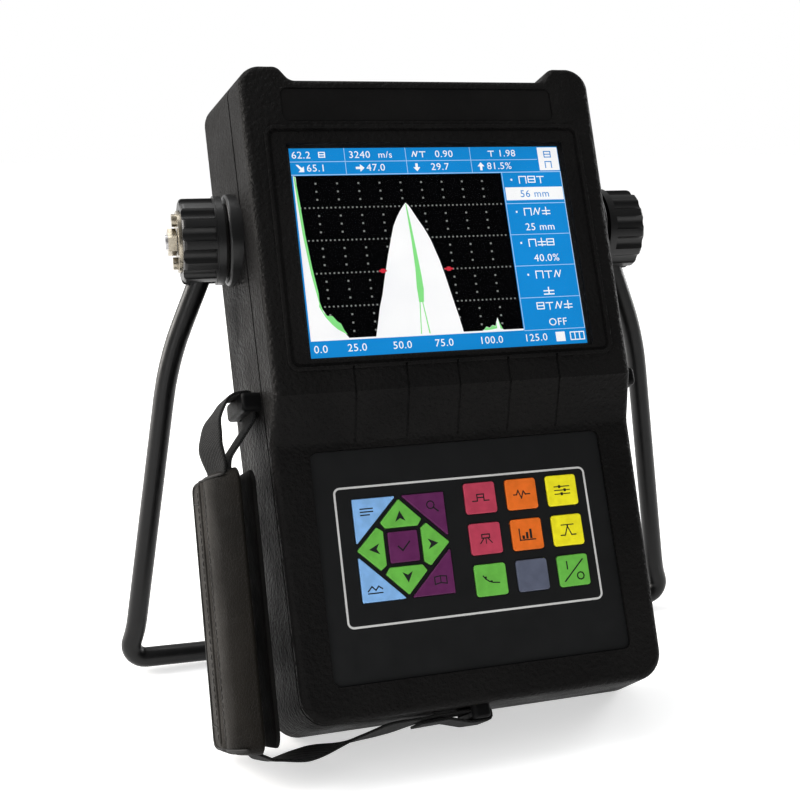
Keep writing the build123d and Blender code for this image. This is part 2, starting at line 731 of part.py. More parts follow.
def bend(start, heading, radius, turn):
    """Middle and end of an arc that turns the heading (degrees from local Y)."""
    out = []
    for part in (0.5, 1.0):
        a, b = radians(heading), radians(heading + turn * part)
        k = 1 if turn > 0 else -1
        out.append((start[0] + k * radius * (cos(b) - cos(a)), start[1] + k * radius * (sin(b) - sin(a))))
    return out


p0 = (-89.6, 7.0)
p1 = (p0[0] - 27.0 * 0.42, 34.0)
m1, p2 = bend(p1, 22.8, 142, -13.5)
p3 = (p2[0] - (165.4 - p2[1]) * 0.1638, 165.4)
m3, p4 = bend(p3, 9.3, 60, 10.7)
m4, p5 = bend(p4, 20.0, 6.5, -108.6)
m5, p6 = bend(p5, -88.6, abs(p5[0]) / sin(radians(1.4)), -1.4)
print("bail: corner", p4, "middle", p6)


def mirrored(p):
    return (-p[0], p[1])


with BuildPart() as bail_rod:
    with BuildLine(BAIL_PLANE) as rod_line:
        Line(p0, p1)
        ThreePointArc(p1, m1, p2)
        Line(p2, p3)
        ThreePointArc(p3, m3, p4)
        ThreePointArc(p4, m4, p5)
        ThreePointArc(p5, p6, mirrored(p5))
        ThreePointArc(mirrored(p5), mirrored(m4), mirrored(p4))
        ThreePointArc(mirrored(p4), mirrored(m3), mirrored(p3))
        Line(mirrored(p3), mirrored(p2))
        ThreePointArc(mirrored(p2), mirrored(m1), mirrored(p1))
        Line(mirrored(p1), mirrored(p0))
    rod_wire = rod_line.wire()
    with BuildSketch(Plane(origin=rod_wire @ 0, z_dir=rod_wire % 0)):
        Circle(ROD_R)
    sweep(path=rod_wire)

for name, side in (("bail_hub_left", -1), ("bail_hub_right", 1)):
    with BuildPart() as hub:
        with BuildSketch(Plane.YZ.offset(side * HUB_X0)):
            with Locations((PIVOT_Y, PIVOT_Z)):
                Circle(HUB_R)
        extrude(amount=side * (HUB_X1 - HUB_X0))
        with BuildSketch(Plane.YZ.offset(side * HUB_X0)):
            with Locations((PIVOT_Y, PIVOT_Z)):
                Circle(HUB_R + 0.8)
        extrude(amount=side * 3.0)
        fillet(hub.edges().filter_by(GeomType.CIRCLE).sort_by(Axis((0, 0, 0), (side, 0, 0)))[-1], 1.6)
        with BuildSketch(Plane.YZ.offset(side * (HUB_X0 + 3.6))):
            with Locations((PIVOT_Y, PIVOT_Z)):
                with PolarLocations(18.9, 12, start_angle=10.4):
                    Circle(3.4)
        extrude(amount=side * 20, mode=Mode.SUBTRACT)
        with BuildSketch(Plane.YZ.offset(side * (HUB_X1 - 0.9))):
            with Locations((PIVOT_Y, PIVOT_Z)):
                Circle(12.9)
        extrude(amount=side * 3, mode=Mode.SUBTRACT)
        with BuildSketch(Plane.YZ.offset(side * 70)):
            with Locations((PIVOT_Y, PIVOT_Z)):
                Circle(BOLT_R + 0.3)
        extrude(amount=side * 40, mode=Mode.SUBTRACT)
        add(bail_rod.part, mode=Mode.SUBTRACT)
        with BuildSketch(Plane.YZ.offset(side * 95.8)):
            with Locations(*[(PIVOT_Y + k * 8.8 * BAIL_DY, PIVOT_Z + k * 8.8 * BAIL_DZ) for k in (-1, 1)]):
                Circle(0.9)
        extrude(amount=side * 7, mode=Mode.SUBTRACT)
    lean(hub.part)
    hub.part.label = name
    export_step(hub.part, f"parts/{name}.step")

lean(bail_rod.part)
bail_rod.part.label = "bail_rod"
export_step(bail_rod.part, "parts/bail_rod.step")

SCREW_SPOTS = [(PIVOT_Y + k * 8.8 * BAIL_DY, PIVOT_Z + k * 8.8 * BAIL_DZ) for k in (-1, 1)]
with BuildPart() as hub_plates:
    for side in (-1, 1):
        with BuildSketch(Plane.YZ.offset(side * (HUB_X1 - 0.9))):
            with Locations((PIVOT_Y, PIVOT_Z)):
                Circle(12.6)
                Circle(BOLT_R + 0.4, mode=Mode.SUBTRACT)
            with Locations(*SCREW_SPOTS):
                Circle(1.2, mode=Mode.SUBTRACT)
        extrude(amount=side * 2.1)
lean(hub_plates.part)
hub_plates.part.label = "hub_plates"
export_step(hub_plates.part, "parts/hub_plates.step")

with BuildPart() as hub_screws:
    for side in (-1, 1):
        with BuildSketch(Plane.YZ.offset(side * (HUB_X1 + 1.2))):
            with Locations(*SCREW_SPOTS):
                Circle(2.6)
        extrude(amount=side * 1.9)
        with BuildSketch(Plane.YZ.offset(side * (HUB_X1 + 1.3))):
            with Locations(*SCREW_SPOTS):
                Circle(0.9)
        extrude(amount=-side * 5.8)
        with BuildSketch(Plane.YZ.offset(side * (HUB_X1 + 2.2))):
            with Locations(*SCREW_SPOTS):
                Rectangle(6, 0.8)
        extrude(amount=side * 3, mode=Mode.SUBTRACT)
lean(hub_screws.part)
hub_screws.part.label = "hub_screws"
export_step(hub_screws.part, "parts/hub_screws.step")

# ------------------------------------------------------------- straps and pad
for name, plane, height, bar in (
        ("strap_lug_left", wall_plane(-1, LUG_Z), LUG_H, 4.0),
        ("strap_lug_right", wall_plane(1, LUG_Z), LUG_H, 4.0),
        ("strap_lug_bottom", underside_plane(-3.0), 5.0, 2.6)):
    with BuildPart() as lug:
        with BuildSketch(plane):
            with Locations((LUG_MID, 0)):
                RectangleRounded(LUG_LEN, 7.5, 2.2)
        extrude(amount=height)
        fillet(lug.faces().sort_by(Axis(plane.origin, plane.z_dir))[-1].edges(), 1.3)
        with BuildSketch(plane.offset(-1)):
            with Locations((LUG_MID, 0)):
                Rectangle(LUG_LEN - 5, 10)
        extrude(amount=1 + height - bar, mode=Mode.SUBTRACT)
        add(case_form.part, mode=Mode.SUBTRACT)
    lean(lug.part)
    lug.part.label = name
    export_step(lug.part, f"parts/{name}.step")

PAD_PLANE = wall_plane(-1, 36.0)
with BuildPart() as hand_pad:
    with BuildSketch(PAD_PLANE.offset(13.0)):
        with Locations((21, 3)):
            RectangleRounded(40, 106, 9)
    extrude(amount=9.0)
    fillet(hand_pad.faces().sort_by(Axis(PAD_PLANE.origin, PAD_PLANE.z_dir))[-1].edges(), 3.5)
lean(hand_pad.part)
hand_pad.part.label = "hand_pad"
export_step(hand_pad.part, "parts/hand_pad.step")

with BuildPart() as pad_liner:
    with BuildSketch(PAD_PLANE.offset(7.4)):
        with Locations((21, 2.75)):
            RectangleRounded(37, 103.5, 8)
    extrude(amount=1.8)
lean(pad_liner.part)
pad_liner.part.label = "pad_liner"
export_step(pad_liner.part, "parts/pad_liner.step")

# webbing loop over the left lug, both ends sewn into the pad
lug_wall = wall_plane(-1, LUG_Z)
LOOP_PLANE = Plane(origin=lug_wall.origin - (0, 0, LUG_Z) + lug_wall.x_dir * (LUG_MID - STRAP_W / 2),
                   x_dir=lug_wall.z_dir, z_dir=lug_wall.x_dir)
LOOP = [((11.0, 30), 0), ((11.0, 88), 4), ((15.8, 93.5), 4), ((16.2, 100), 6), ((13.6, 109.5), 5),
        ((8.8, 116.9), 2.6), ((2.6, 116.9), 1.6), ((1.1, 111.5), 3), ((1.6, 105), 6), ((8.3, 88), 8), ((8.3, 30), 0)]
with BuildPart() as strap_loop:
    with BuildSketch(LOOP_PLANE) as band:
        Polygon(*[p for p, r in LOOP], align=None)
        for (n, z), r in LOOP:
            if r:
                fillet([v for v in band.vertices() if abs(v.X - n) < 0.01 and abs(v.Y - z) < 0.01], r)
        offset(amount=-STRAP_T, mode=Mode.SUBTRACT)
    extrude(amount=STRAP_W)
lean(strap_loop.part)
strap_loop.part.label = "strap_loop"
export_step(strap_loop.part, "parts/strap_loop.step")

# flat strap from the pad to the lug under the case
under = underside_plane(0)
TAIL_PLANE = Plane(origin=under.origin + under.x_dir * (LUG_MID - STRAP_W / 2), x_dir=(1, 0, 0), z_dir=under.x_dir)
with BuildPart() as strap_tail:
    with BuildSketch(TAIL_PLANE):
        with BuildLine():
            FilletPolyline((-87.2, 1.0), (-87.2, 9.2), (-80.0, 9.2), (-72.0, 8.2), (-57.0, 5.9), (-39.0, 3.1),
                           (-20.0, 1.4), (1.6, 1.4), (1.6, 5.9), (-15.0, 5.9), radius=1.0)
        trace(line_width=STRAP_T)
    extrude(amount=STRAP_W)
lean(strap_tail.part)
strap_tail.part.label = "strap_tail"
export_step(strap_tail.part, "parts/strap_tail.step")

lean(rear_cover.part)
rear_cover.part.label = "rear_cover"
export_step(rear_cover.part, "parts/rear_cover.step")
low = rear_cover.part.bounding_box()
print("rear cover lowest", low.min.Z, "rod lowest", bail_rod.part.bounding_box().min.Z)
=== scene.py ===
import bpy, bmesh, math, random
from mathutils import Matrix, Vector


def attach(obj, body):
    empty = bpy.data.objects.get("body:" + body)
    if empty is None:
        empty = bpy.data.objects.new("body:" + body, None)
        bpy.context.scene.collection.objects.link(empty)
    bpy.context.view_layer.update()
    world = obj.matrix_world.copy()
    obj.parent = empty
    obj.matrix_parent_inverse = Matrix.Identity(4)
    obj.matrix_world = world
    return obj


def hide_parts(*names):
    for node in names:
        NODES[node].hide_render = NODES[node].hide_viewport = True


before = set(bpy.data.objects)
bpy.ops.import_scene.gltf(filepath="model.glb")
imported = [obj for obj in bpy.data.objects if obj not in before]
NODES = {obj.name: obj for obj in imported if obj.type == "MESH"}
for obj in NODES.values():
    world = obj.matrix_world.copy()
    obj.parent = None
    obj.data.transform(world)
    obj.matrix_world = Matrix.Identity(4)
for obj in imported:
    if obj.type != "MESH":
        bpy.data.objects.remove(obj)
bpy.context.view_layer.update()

COLL = bpy.context.scene.collection
random.seed(7)

# --------------------------------------------------------------------------
# The case frame: millimetres, X right, Y into the case, Z up along the case.
LEAN = math.radians(26.2)
C, S = math.cos(LEAN), math.sin(LEAN)
SHIFT_Y, SHIFT_Z = -31.03, 35.54


def P(x, y, z):
    return Vector((x, y * C + z * S + SHIFT_Y, -y * S + z * C + SHIFT_Z)) * 0.001


def face_matrix(x, y, z):
    """Local X right, local Y up the case, local Z towards the viewer; metres."""
    m = Matrix(((1, 0, 0), (0, S, -C), (0, C, S))).to_4x4()
    m.translation = P(x, y, z)
    return m


# ------------------------------------------------------------------ camera
cam_data = bpy.data.cameras.new("camera")
cam = bpy.data.objects.new("camera", cam_data)
COLL.objects.link(cam)
cam_data.sensor_width = 36.0
cam_data.lens = 50.69
cam_data.clip_start, cam_data.clip_end = 0.01, 20
forward = Vector((0.2644, 0.9329, -0.2446)).normalized()
right = forward.cross(Vector((0, 0, 1))).normalized()
up = right.cross(forward)
m = Matrix((right, up, -forward)).transposed().to_4x4()
m.translation = Vector((-0.13994, -0.40130, 0.24099))
cam.matrix_world = m
bpy.context.scene.camera = cam
bpy.context.scene.view_settings.view_transform = "Standard"
bpy.context.scene.view_settings.look = "None"

# ------------------------------------------------------------------ lights
world = bpy.data.worlds.new("studio")
bpy.context.scene.world = world
world.use_nodes = True
wt = world.node_tree
bg = wt.nodes["Background"]


def wnode(kind, **props):
    n = wt.nodes.new(kind)
    for k, v in props.items():
        setattr(n, k, v)
    return n


def wmath(op, a, b, clamp=False):
    n = wnode("ShaderNodeMath", operation=op, use_clamp=clamp)
    for i, v in enumerate((a, b)):
        if isinstance(v, (int, float)):
            n.inputs[i].default_value = v
        else:
            wt.links.new(v, n.inputs[i])
    return n.outputs[0]


# Soft box on the left, softer light from above, a dim room in front and to the
# right; the backdrop itself is white paper.
sky = wnode("ShaderNodeTexCoord")
sep = wnode("ShaderNodeSeparateXYZ")
wt.links.new(sky.outputs["Generated"], sep.inputs[0])
toward = wnode("ShaderNodeVectorMath", operation="DOT_PRODUCT")
wt.links.new(sky.outputs["Generated"], toward.inputs[0])
toward.inputs[1].default_value = (-0.76, 0.45, 0.47)
soft = wmath("MULTIPLY", wmath("MULTIPLY", toward.outputs["Value"], 1.0, True), 0.85)
from_top = wmath("MULTIPLY", wmath("MULTIPLY", sep.outputs[2], 1.0, True), 0.26)
level = wmath("ADD", wmath("ADD", soft, from_top), 0.10)
seen = wnode("ShaderNodeLightPath")
paper = wnode("ShaderNodeMix", data_type="FLOAT")
wt.links.new(seen.outputs["Is Camera Ray"], paper.inputs[0])
wt.links.new(level, paper.inputs[2])
paper.inputs[3].default_value = 1.0
bg.inputs[0].default_value = (1.0, 1.0, 1.0, 1)
wt.links.new(paper.outputs[0], bg.inputs[1])


def area(name, loc, target, size, power, color=(1, 1, 1)):
    data = bpy.data.lights.new(name, "AREA")
    data.shape = "RECTANGLE"
    data.size, data.size_y = size
    data.energy = power
    data.color = color
    ob = bpy.data.objects.new(name, data)
    COLL.objects.link(ob)
    ob.location = loc
    ob.rotation_euler = (Vector(target) - Vector(loc)).to_track_quat("-Z", "Y").to_euler()
    return ob


area("key_left", (-1.15, 0.55, 0.50), (0, 0.03, 0.12), (0.6, 0.8), 22, (1.0, 0.96, 0.91))
area("top_soft", (-0.35, 0.35, 1.25), (0, 0.03, 0.15), (0.8, 0.6), 6)
area("right_soft", (1.15, 0.42, 0.45), (0, 0.03, 0.15), (0.6, 0.6), 9)
area("keys_soft", (-0.75, -0.95, 0.25), (0, 0.0, 0.1), (0.4, 0.4), 2.2)

# ------------------------------------------------------------------- floor
mesh = bpy.data.meshes.new("floor")
bm = bmesh.new()
bmesh.ops.create_grid(bm, x_segments=2, y_segments=2, size=6.0)
bm.to_mesh(mesh)
bm.free()
floor = bpy.data.objects.new("floor", mesh)
floor.location = (0, 0, -0.00003)
COLL.objects.link(floor)


# --------------------------------------------------------------- materials
class Mat:
    """A node material with a few short helpers."""

    def __init__(self, name, color, rough=0.5, metal=0.0, spec=0.5):
        self.m = bpy.data.materials.new(name)
        self.m.use_nodes = True
        self.nt = self.m.node_tree
        self.b = self.nt.nodes["Principled BSDF"]
        self.color = color
        self.b.inputs["Base Color"].default_value = (*color, 1)
        self.b.inputs["Roughness"].default_value = rough
        self.b.inputs["Metallic"].default_value = metal
        self.b.inputs["Specular IOR Level"].default_value = spec
        self.height = None
        tc = self.nt.nodes.new("ShaderNodeTexCoord")
        mp = self.nt.nodes.new("ShaderNodeMapping")
        mp.inputs["Rotation"].default_value = (LEAN, 0, 0)
        mp.inputs["Location"].default_value = (0, 0.04353, -0.01819)
        self.link(tc.outputs["Object"], mp.inputs["Vector"])
        self.vec = mp.outputs["Vector"]

    def link(self, a, b):
        self.nt.links.new(a, b)

    def node(self, kind, **props):
        n = self.nt.nodes.new(kind)
        for k, v in props.items():
            setattr(n, k, v)
        return n

    def math(self, op, a, b=None, c=None, clamp=False):
        n = self.node("ShaderNodeMath", operation=op, use_clamp=clamp)
        for i, v in enumerate((a, b, c)):
            if v is None:
                continue
            if isinstance(v, (int, float)):
                n.inputs[i].default_value = v
            else:
                self.link(v, n.inputs[i])
        return n.outputs[0]

    def stretch(self, scale):
        """The case coordinates scaled along each axis."""
        n = self.node("ShaderNodeVectorMath", operation="MULTIPLY")
        self.link(self.vec, n.inputs[0])
        n.inputs[1].default_value = scale
        return n.outputs[0]

    def noise(self, scale, detail=3.0, rough=0.55, vec=None):
        n = self.node("ShaderNodeTexNoise")
        n.inputs["Scale"].default_value = scale
        n.inputs["Detail"].default_value = detail
        n.inputs["Roughness"].default_value = rough
        self.link(vec or self.vec, n.inputs["Vector"])
        return n.outputs["Fac"]

    def voronoi(self, scale, feature="F1", vec=None, rand=1.0):
        n = self.node("ShaderNodeTexVoronoi", feature=feature)
        n.inputs["Scale"].default_value = scale
        n.inputs["Randomness"].default_value = rand
        self.link(vec or self.vec, n.inputs["Vector"])
        return n.outputs["Distance"]

    def ramp(self, fac, lo, hi, a, b):
        """a below lo, b above hi, straight between."""
        n = self.node("ShaderNodeMapRange")
        n.inputs["From Min"].default_value = lo
        n.inputs["From Max"].default_value = hi
        n.inputs["To Min"].default_value = a
        n.inputs["To Max"].default_value = b
        self.link(fac, n.inputs["Value"])
        return n.outputs["Result"]

    def mix(self, fac, a, b):
        n = self.node("ShaderNodeMix", data_type="RGBA")
        for i, v in ((6, a), (7, b)):
            if isinstance(v, tuple):
                n.inputs[i].default_value = (*v, 1)
            else:
                self.link(v, n.inputs[i])
        self.link(fac, n.inputs[0])
        return n.outputs[2]

    def colour(self, out):
        self.link(out, self.b.inputs["Base Color"])

    def rough(self, out):
        self.link(out, self.b.inputs["Roughness"])

    def vary(self, amount, scale, detail=3.0):
        """Base colour drifting a little lighter and darker."""
        lo = tuple(c * (1 - amount) for c in self.color)
        hi = tuple(min(1, c * (1 + amount)) for c in self.color)
        self.colour(self.mix(self.ramp(self.noise(scale, detail), 0.35, 0.65, 0, 1), lo, hi))

    def bump(self, height, distance, strength=1.0):
        n = self.node("ShaderNodeBump")
        n.inputs["Distance"].default_value = distance
        n.inputs["Strength"].default_value = strength
        self.link(height, n.inputs["Height"])
        self.link(n.outputs["Normal"], self.b.inputs["Normal"])

    def xyz(self):
        n = self.node("ShaderNodeSeparateXYZ")
        self.link(self.vec, n.inputs[0])
        return n.outputs

    def inside(self, value, lo, hi, soft):
        """1 between lo and hi, 0 outside, over a soft edge."""
        a = self.ramp(value, lo, lo + soft, 0, 1)
        b = self.ramp(value, hi - soft, hi, 1, 0)
        return self.math("MULTIPLY", a, b)


def case_material():
    k = Mat("case_plastic", (0.0045, 0.0043, 0.0043), 0.5, spec=0.035)
    wob = k.noise(260, 2.0)
    addv = k.node("ShaderNodeVectorMath", operation="MULTIPLY_ADD")
    comb = k.node("ShaderNodeCombineXYZ")
    for i in range(3):
        k.link(wob, comb.inputs[i])
    k.link(comb.outputs[0], addv.inputs[0])
    addv.inputs[1].default_value = (0.0012, 0.0012, 0.0012)
    k.link(k.vec, addv.inputs[2])
    cells = k.voronoi(620, "SMOOTH_F1", addv.outputs[0])
    fine = k.voronoi(1500, "F1", addv.outputs[0])
    pebble = k.math("ADD", k.math("MULTIPLY", cells, -1.0), k.math("MULTIPLY", fine, -0.35))
    x, y, z = k.xyz()
    name_x = k.inside(x, -0.0590, 0.0570, 0.0006)
    name_z = k.inside(z, 0.2203, 0.2349, 0.0006)
    front = k.ramp(y, -0.0110, -0.0105, 1, 0)
    smooth = k.math("MULTIPLY", k.math("MULTIPLY", name_x, name_z), front)
    keep = k.math("SUBTRACT", 1.0, k.math("MULTIPLY", smooth, 0.85))
    height = k.math("MULTIPLY", pebble, keep)
    k.bump(height, 0.00060, 0.9)
    drift = k.ramp(k.noise(24, 4.0), 0.3, 0.7, 0, 1)
    base = k.mix(drift, (0.0054, 0.0052, 0.0052), (0.0092, 0.0088, 0.0086))
    k.colour(base)
    rub = k.ramp(k.noise(60, 5.0), 0.35, 0.7, 0.40, 0.56)
    k.rough(k.math("ADD", rub, k.math("MULTIPLY", smooth, -0.06)))
    return k.m


def plain_plastic(name, color, rough, spec=0.4, grain=0.00006, scale=1400, amount=0.18):
    k = Mat(name, color, rough, spec=spec)
    k.vary(amount, 45, 4.0)
    k.rough(k.ramp(k.noise(130, 4.0), 0.3, 0.7, rough - 0.05, rough + 0.06))
    k.bump(k.noise(scale, 2.0), grain, 0.6)
    return k.m


def key_material(name, color):
    k = Mat(name, color, 0.42, spec=0.35)
    k.b.inputs["Subsurface Weight"].default_value = 0.0
    lo = tuple(c * 0.90 for c in color)
    hi = tuple(min(1, c * 1.07 + 0.004) for c in color)
    k.colour(k.mix(k.ramp(k.noise(220, 3.0), 0.35, 0.65, 0, 1), lo, hi))
    k.rough(k.ramp(k.noise(500, 3.0), 0.3, 0.7, 0.36, 0.50))
    k.bump(k.noise(2600, 2.0), 0.00004, 0.5)
    return k.m


def metal_material(name, color, rough, scale=900, streak=(1, 1, 1), stain=0.25):
    k = Mat(name, color, rough, metal=1.0)
    v = k.stretch(streak)
    lo = tuple(c * (1 - stain) for c in color)
    k.colour(k.mix(k.ramp(k.noise(180, 5.0), 0.35, 0.7, 0, 1), lo, color))
    k.rough(k.ramp(k.noise(scale, 4.0, vec=v), 0.3, 0.7, rough - 0.08, rough + 0.12))
    k.bump(k.noise(scale * 1.5, 2.0, vec=v), 0.00003, 0.5)
    return k.m


def coated_material(name, color, rough, spec=0.24):
    k = Mat(name, color, rough, spec=spec)
    k.vary(0.2, 60, 4.0)
    k.rough(k.ramp(k.noise(300, 4.0), 0.3, 0.7, rough - 0.06, rough + 0.08))
    k.bump(k.noise(2400, 3.0), 0.00008, 0.6)
    return k.m


def leather_material():
    k = Mat("pad_leather", (0.030, 0.028, 0.027), 0.5, spec=0.025)
    v = k.stretch((1, 1, 0.8))
    cells = k.voronoi(760, "DISTANCE_TO_EDGE", v)
    crease = k.ramp(cells, 0.0, 0.10, 0, 1)
    pore = k.noise(2200, 2.0)
    h = k.math("ADD", crease, k.math("MULTIPLY", pore, 0.25))
    wrinkle = k.noise(90, 4.0, vec=k.stretch((1, 1, 2.5)))
    h = k.math("ADD", h, k.math("MULTIPLY", wrinkle, 1.6))
    k.bump(h, 0.00018, 0.7)
    # Painted light and shade: a lighter tone on the outer panel, which faces the light, and a darker tone on the front
    # roll, which faces away from it
    lo, hi = (0.021, 0.0193, 0.0175), (0.042, 0.0390, 0.0355)
    lit_panel_tone = k.mix(k.ramp(k.noise(38, 4.0), 0.3, 0.7, 0, 1), lo, hi)
    shaded_roll_tone = k.mix(k.ramp(k.noise(24, 3.0), 0.3, 0.7, 0, 1), (0.0034, 0.0029, 0.0023), (0.0074, 0.0062, 0.0048))
    x, y, z = k.xyz()
    # Depth mask: the pad is painted darker towards its front edge, a painted shade on the front roll
    edge = k.math("ADD", y, k.math("MULTIPLY", k.math("SUBTRACT", k.noise(55, 3.0), 0.5), 0.004))
    k.colour(k.mix(k.ramp(edge, 0.0080, 0.0195, 0, 1), shaded_roll_tone, lit_panel_tone))
    k.rough(k.ramp(k.noise(160, 4.0), 0.3, 0.7, 0.46, 0.64))
    k.b.inputs["Sheen Weight"].default_value = 0.02
    k.b.inputs["Sheen Roughness"].default_value = 0.5
    return k.m


def webbing_material():
    k = Mat("webbing", (0.010, 0.010, 0.010), 0.8, spec=0.05)
    a = k.node("ShaderNodeTexWave", wave_type="BANDS", bands_direction="DIAGONAL")
    a.inputs["Scale"].default_value = 480
    a.inputs["Distortion"].default_value = 0.6
    k.link(k.vec, a.inputs["Vector"])
    b = k.node("ShaderNodeTexWave", wave_type="BANDS", bands_direction="Z")
    b.inputs["Scale"].default_value = 620
    k.link(k.stretch((-1, 1, 1)), b.inputs["Vector"])
    h = k.math("MULTIPLY", a.outputs["Fac"], b.outputs["Fac"])
    k.bump(h, 0.00025, 0.8)
    k.colour(k.mix(h, (0.006, 0.006, 0.006), (0.026, 0.026, 0.026)))
    k.rough(k.ramp(k.noise(700, 3.0), 0.3, 0.7, 0.72, 0.9))
    k.b.inputs["Sheen Weight"].default_value = 0.05
    return k.m


def lit_material(name, color, strength=0.92):
    """A lit part of the display."""
    k = Mat(name, tuple(c * 0.2 for c in color), 0.5, spec=0.0)
    k.b.inputs["Emission Strength"].default_value = strength
    lo = tuple(c * 0.93 for c in color)
    hi = tuple(min(1, c * 1.05) for c in color)
    out = k.mix(k.ramp(k.noise(35, 2.0), 0.3, 0.7, 0, 1), lo, hi)
    k.link(out, k.b.inputs["Emission Color"])
    return k.m


def board_material():
    k = Mat("board", (0.015, 0.12, 0.05), 0.4, spec=0.5)
    k.vary(0.3, 400, 2.0)
    k.bump(k.noise(1500, 2.0), 0.00005, 0.5)
    return k.m


def window_material():
    k = Mat("window", (0.004, 0.005, 0.006), 0.04, spec=0.4)
    k.b.inputs["Alpha"].default_value = 0.04
    k.rough(k.ramp(k.noise(120, 3.0), 0.3, 0.7, 0.02, 0.07))
    return k.m


def floor_material():
    k = Mat("floor_paper", (0.80, 0.80, 0.80), 0.85, spec=0.1)
    k.vary(0.01, 3, 2.0)
    k.b.inputs["Emission Color"].default_value = (1, 1, 1, 1)
    k.b.inputs["Emission Strength"].default_value = 0.55
    return k.m


MATS = {
    "case": case_material(),
    "panel": plain_plastic("panel_film", (0.0050, 0.0054, 0.0058), 0.44, 0.24, 0.00005, 1800, 0.12),
    "rubber": plain_plastic("seal_rubber", (0.006, 0.006, 0.006), 0.7, 0.25, 0.0001, 1000),
    "window": window_material(),
    "lcd": plain_plastic("lcd_frame", (0.012, 0.012, 0.013), 0.4, 0.3),
    "steel": metal_material("zinc_steel", (0.56, 0.56, 0.58), 0.38),
    "nickel": metal_material("dull_nickel", (0.50, 0.45, 0.36), 0.26, 1200, (1, 1, 1), 0.45),
    "rod": coated_material("rod_coat", (0.0022, 0.0022, 0.0024), 0.34),
    "lug": coated_material("lug_coat", (0.0030, 0.0030, 0.0032), 0.46, 0.08),
    "hub": plain_plastic("hub_plastic", (0.0034, 0.0034, 0.0036), 0.33, 0.34, 0.00008, 1600),
    "fibre": plain_plastic("fibre", (0.010, 0.009, 0.008), 0.7, 0.2, 0.0002, 900, 0.3),
    "board": board_material(),
    "battery": plain_plastic("battery_sleeve", (0.03, 0.06, 0.16), 0.35, 0.5, 0.0001, 300),
    "leather": leather_material(),
    "liner": plain_plastic("liner_leather", (0.0045, 0.0042, 0.0040), 0.6, 0.04, 0.00025, 700, 0.25),
    "dark_leather": plain_plastic("dark_leather", (0.008, 0.0074, 0.007), 0.6, 0.2, 0.0001, 1500, 0.2),
    "web": webbing_material(),
    "thread": plain_plastic("thread", (0.05, 0.048, 0.046), 0.7, 0.2, 0.0001, 4000, 0.3),
    "ink": plain_plastic("key_ink", (0.010, 0.012, 0.012), 0.55, 0.2, 0.00001, 2000, 0.1),
    "ink_white": plain_plastic("line_ink", (0.60, 0.60, 0.59), 0.5, 0.3, 0.00001, 2000, 0.1),
    "blue": key_material("key_blue", (0.235, 0.479, 0.855)),
    "purple": key_material("key_purple", (0.110, 0.010, 0.085)),
    "green": key_material("key_green", (0.138, 0.495, 0.062)),
    "crimson": key_material("key_crimson", (0.500, 0.046, 0.092)),
    "orange": key_material("key_orange", (0.840, 0.160, 0.010)),
    "yellow": key_material("key_yellow", (0.955, 0.850, 0.010)),
    "slate": key_material("key_slate", (0.098, 0.112, 0.165)),
    "lcd_blue": lit_material("lcd_blue", (0.008, 0.250, 0.66)),
    "lcd_black": lit_material("lcd_black", (0.0008, 0.0008, 0.0010)),
    "lcd_white": lit_material("lcd_white", (0.97, 0.98, 1.0)),
    "lcd_green": lit_material("lcd_green", (0.24, 0.76, 0.24)),
    "lcd_red": lit_material("lcd_red", (0.62, 0.03, 0.05)),
    "lcd_dot": lit_material("lcd_dot", (0.26, 0.27, 0.26)),
    "lcd_pale": lit_material("lcd_pale", (0.42, 0.66, 0.95)),
}
floor.data.materials.append(floor_material())

FINISH = {
    "front_cover": "case", "rear_cover": "case", "battery_door": "case",
    "pivot_collar_left": "hub", "pivot_collar_right": "hub",
    "case_seal": "rubber", "keypad_mat": "rubber",
    "display_window": "window", "lcd_module": "lcd",
    "lcd_bracket": "steel", "bracket_screws": "steel", "board_screws": "steel",
    "case_screws": "steel", "door_screws": "steel", "key_switches": "steel",
    "pivot_bolts": "steel", "pivot_nuts": "nickel", "hub_screws": "nickel",
    "hub_plates": "nickel", "board_spacers": "nickel",
    "probe_socket_left": "nickel", "probe_socket_right": "nickel",
    "power_socket": "nickel", "data_socket": "nickel",
    "main_board": "board", "keypad_board": "board",
    "keypad_panel": "panel", "battery_pack": "battery",
    "friction_washers": "fibre",
    "bail_hub_left": "hub", "bail_hub_right": "hub", "bail_rod": "rod",
    "strap_lug_left": "lug", "strap_lug_right": "lug", "strap_lug_bottom": "lug",
    "hand_pad": "leather", "pad_liner": "leather",
    "strap_loop": "web", "strap_tail": "web",
    "key_corner_tl": "blue", "key_corner_bl": "blue",
    "key_corner_tr": "purple", "key_corner_br": "purple", "key_enter": "purple",
    "key_up": "green", "key_down": "green", "key_left": "green", "key_right": "green",
    "key_r1c1": "crimson", "key_r1c2": "orange", "key_r1c3": "yellow",
    "key_r2c1": "crimson", "key_r2c2": "orange", "key_r2c3": "yellow",
    "key_r3c1": "green", "key_r3c2": "slate", "key_r3c3": "green",
}
for name, ob in NODES.items():
    ob.data.materials.clear()
    ob.data.materials.append(MATS[FINISH[name]])


# --------------------------------------------------------- building helpers
def new_object(name, bm, mat, body="case", smooth=False):
    mesh = bpy.data.meshes.new(name)
    bmesh.ops.recalc_face_normals(bm, faces=bm.faces)
    bm.to_mesh(mesh)
    bm.free()
    if smooth:
        mesh.polygons.foreach_set("use_smooth", [True] * len(mesh.polygons))
    ob = bpy.data.objects.new(name, mesh)
    COLL.objects.link(ob)
    ob.data.materials.append(MATS[mat])
    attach(ob, body)
    return ob


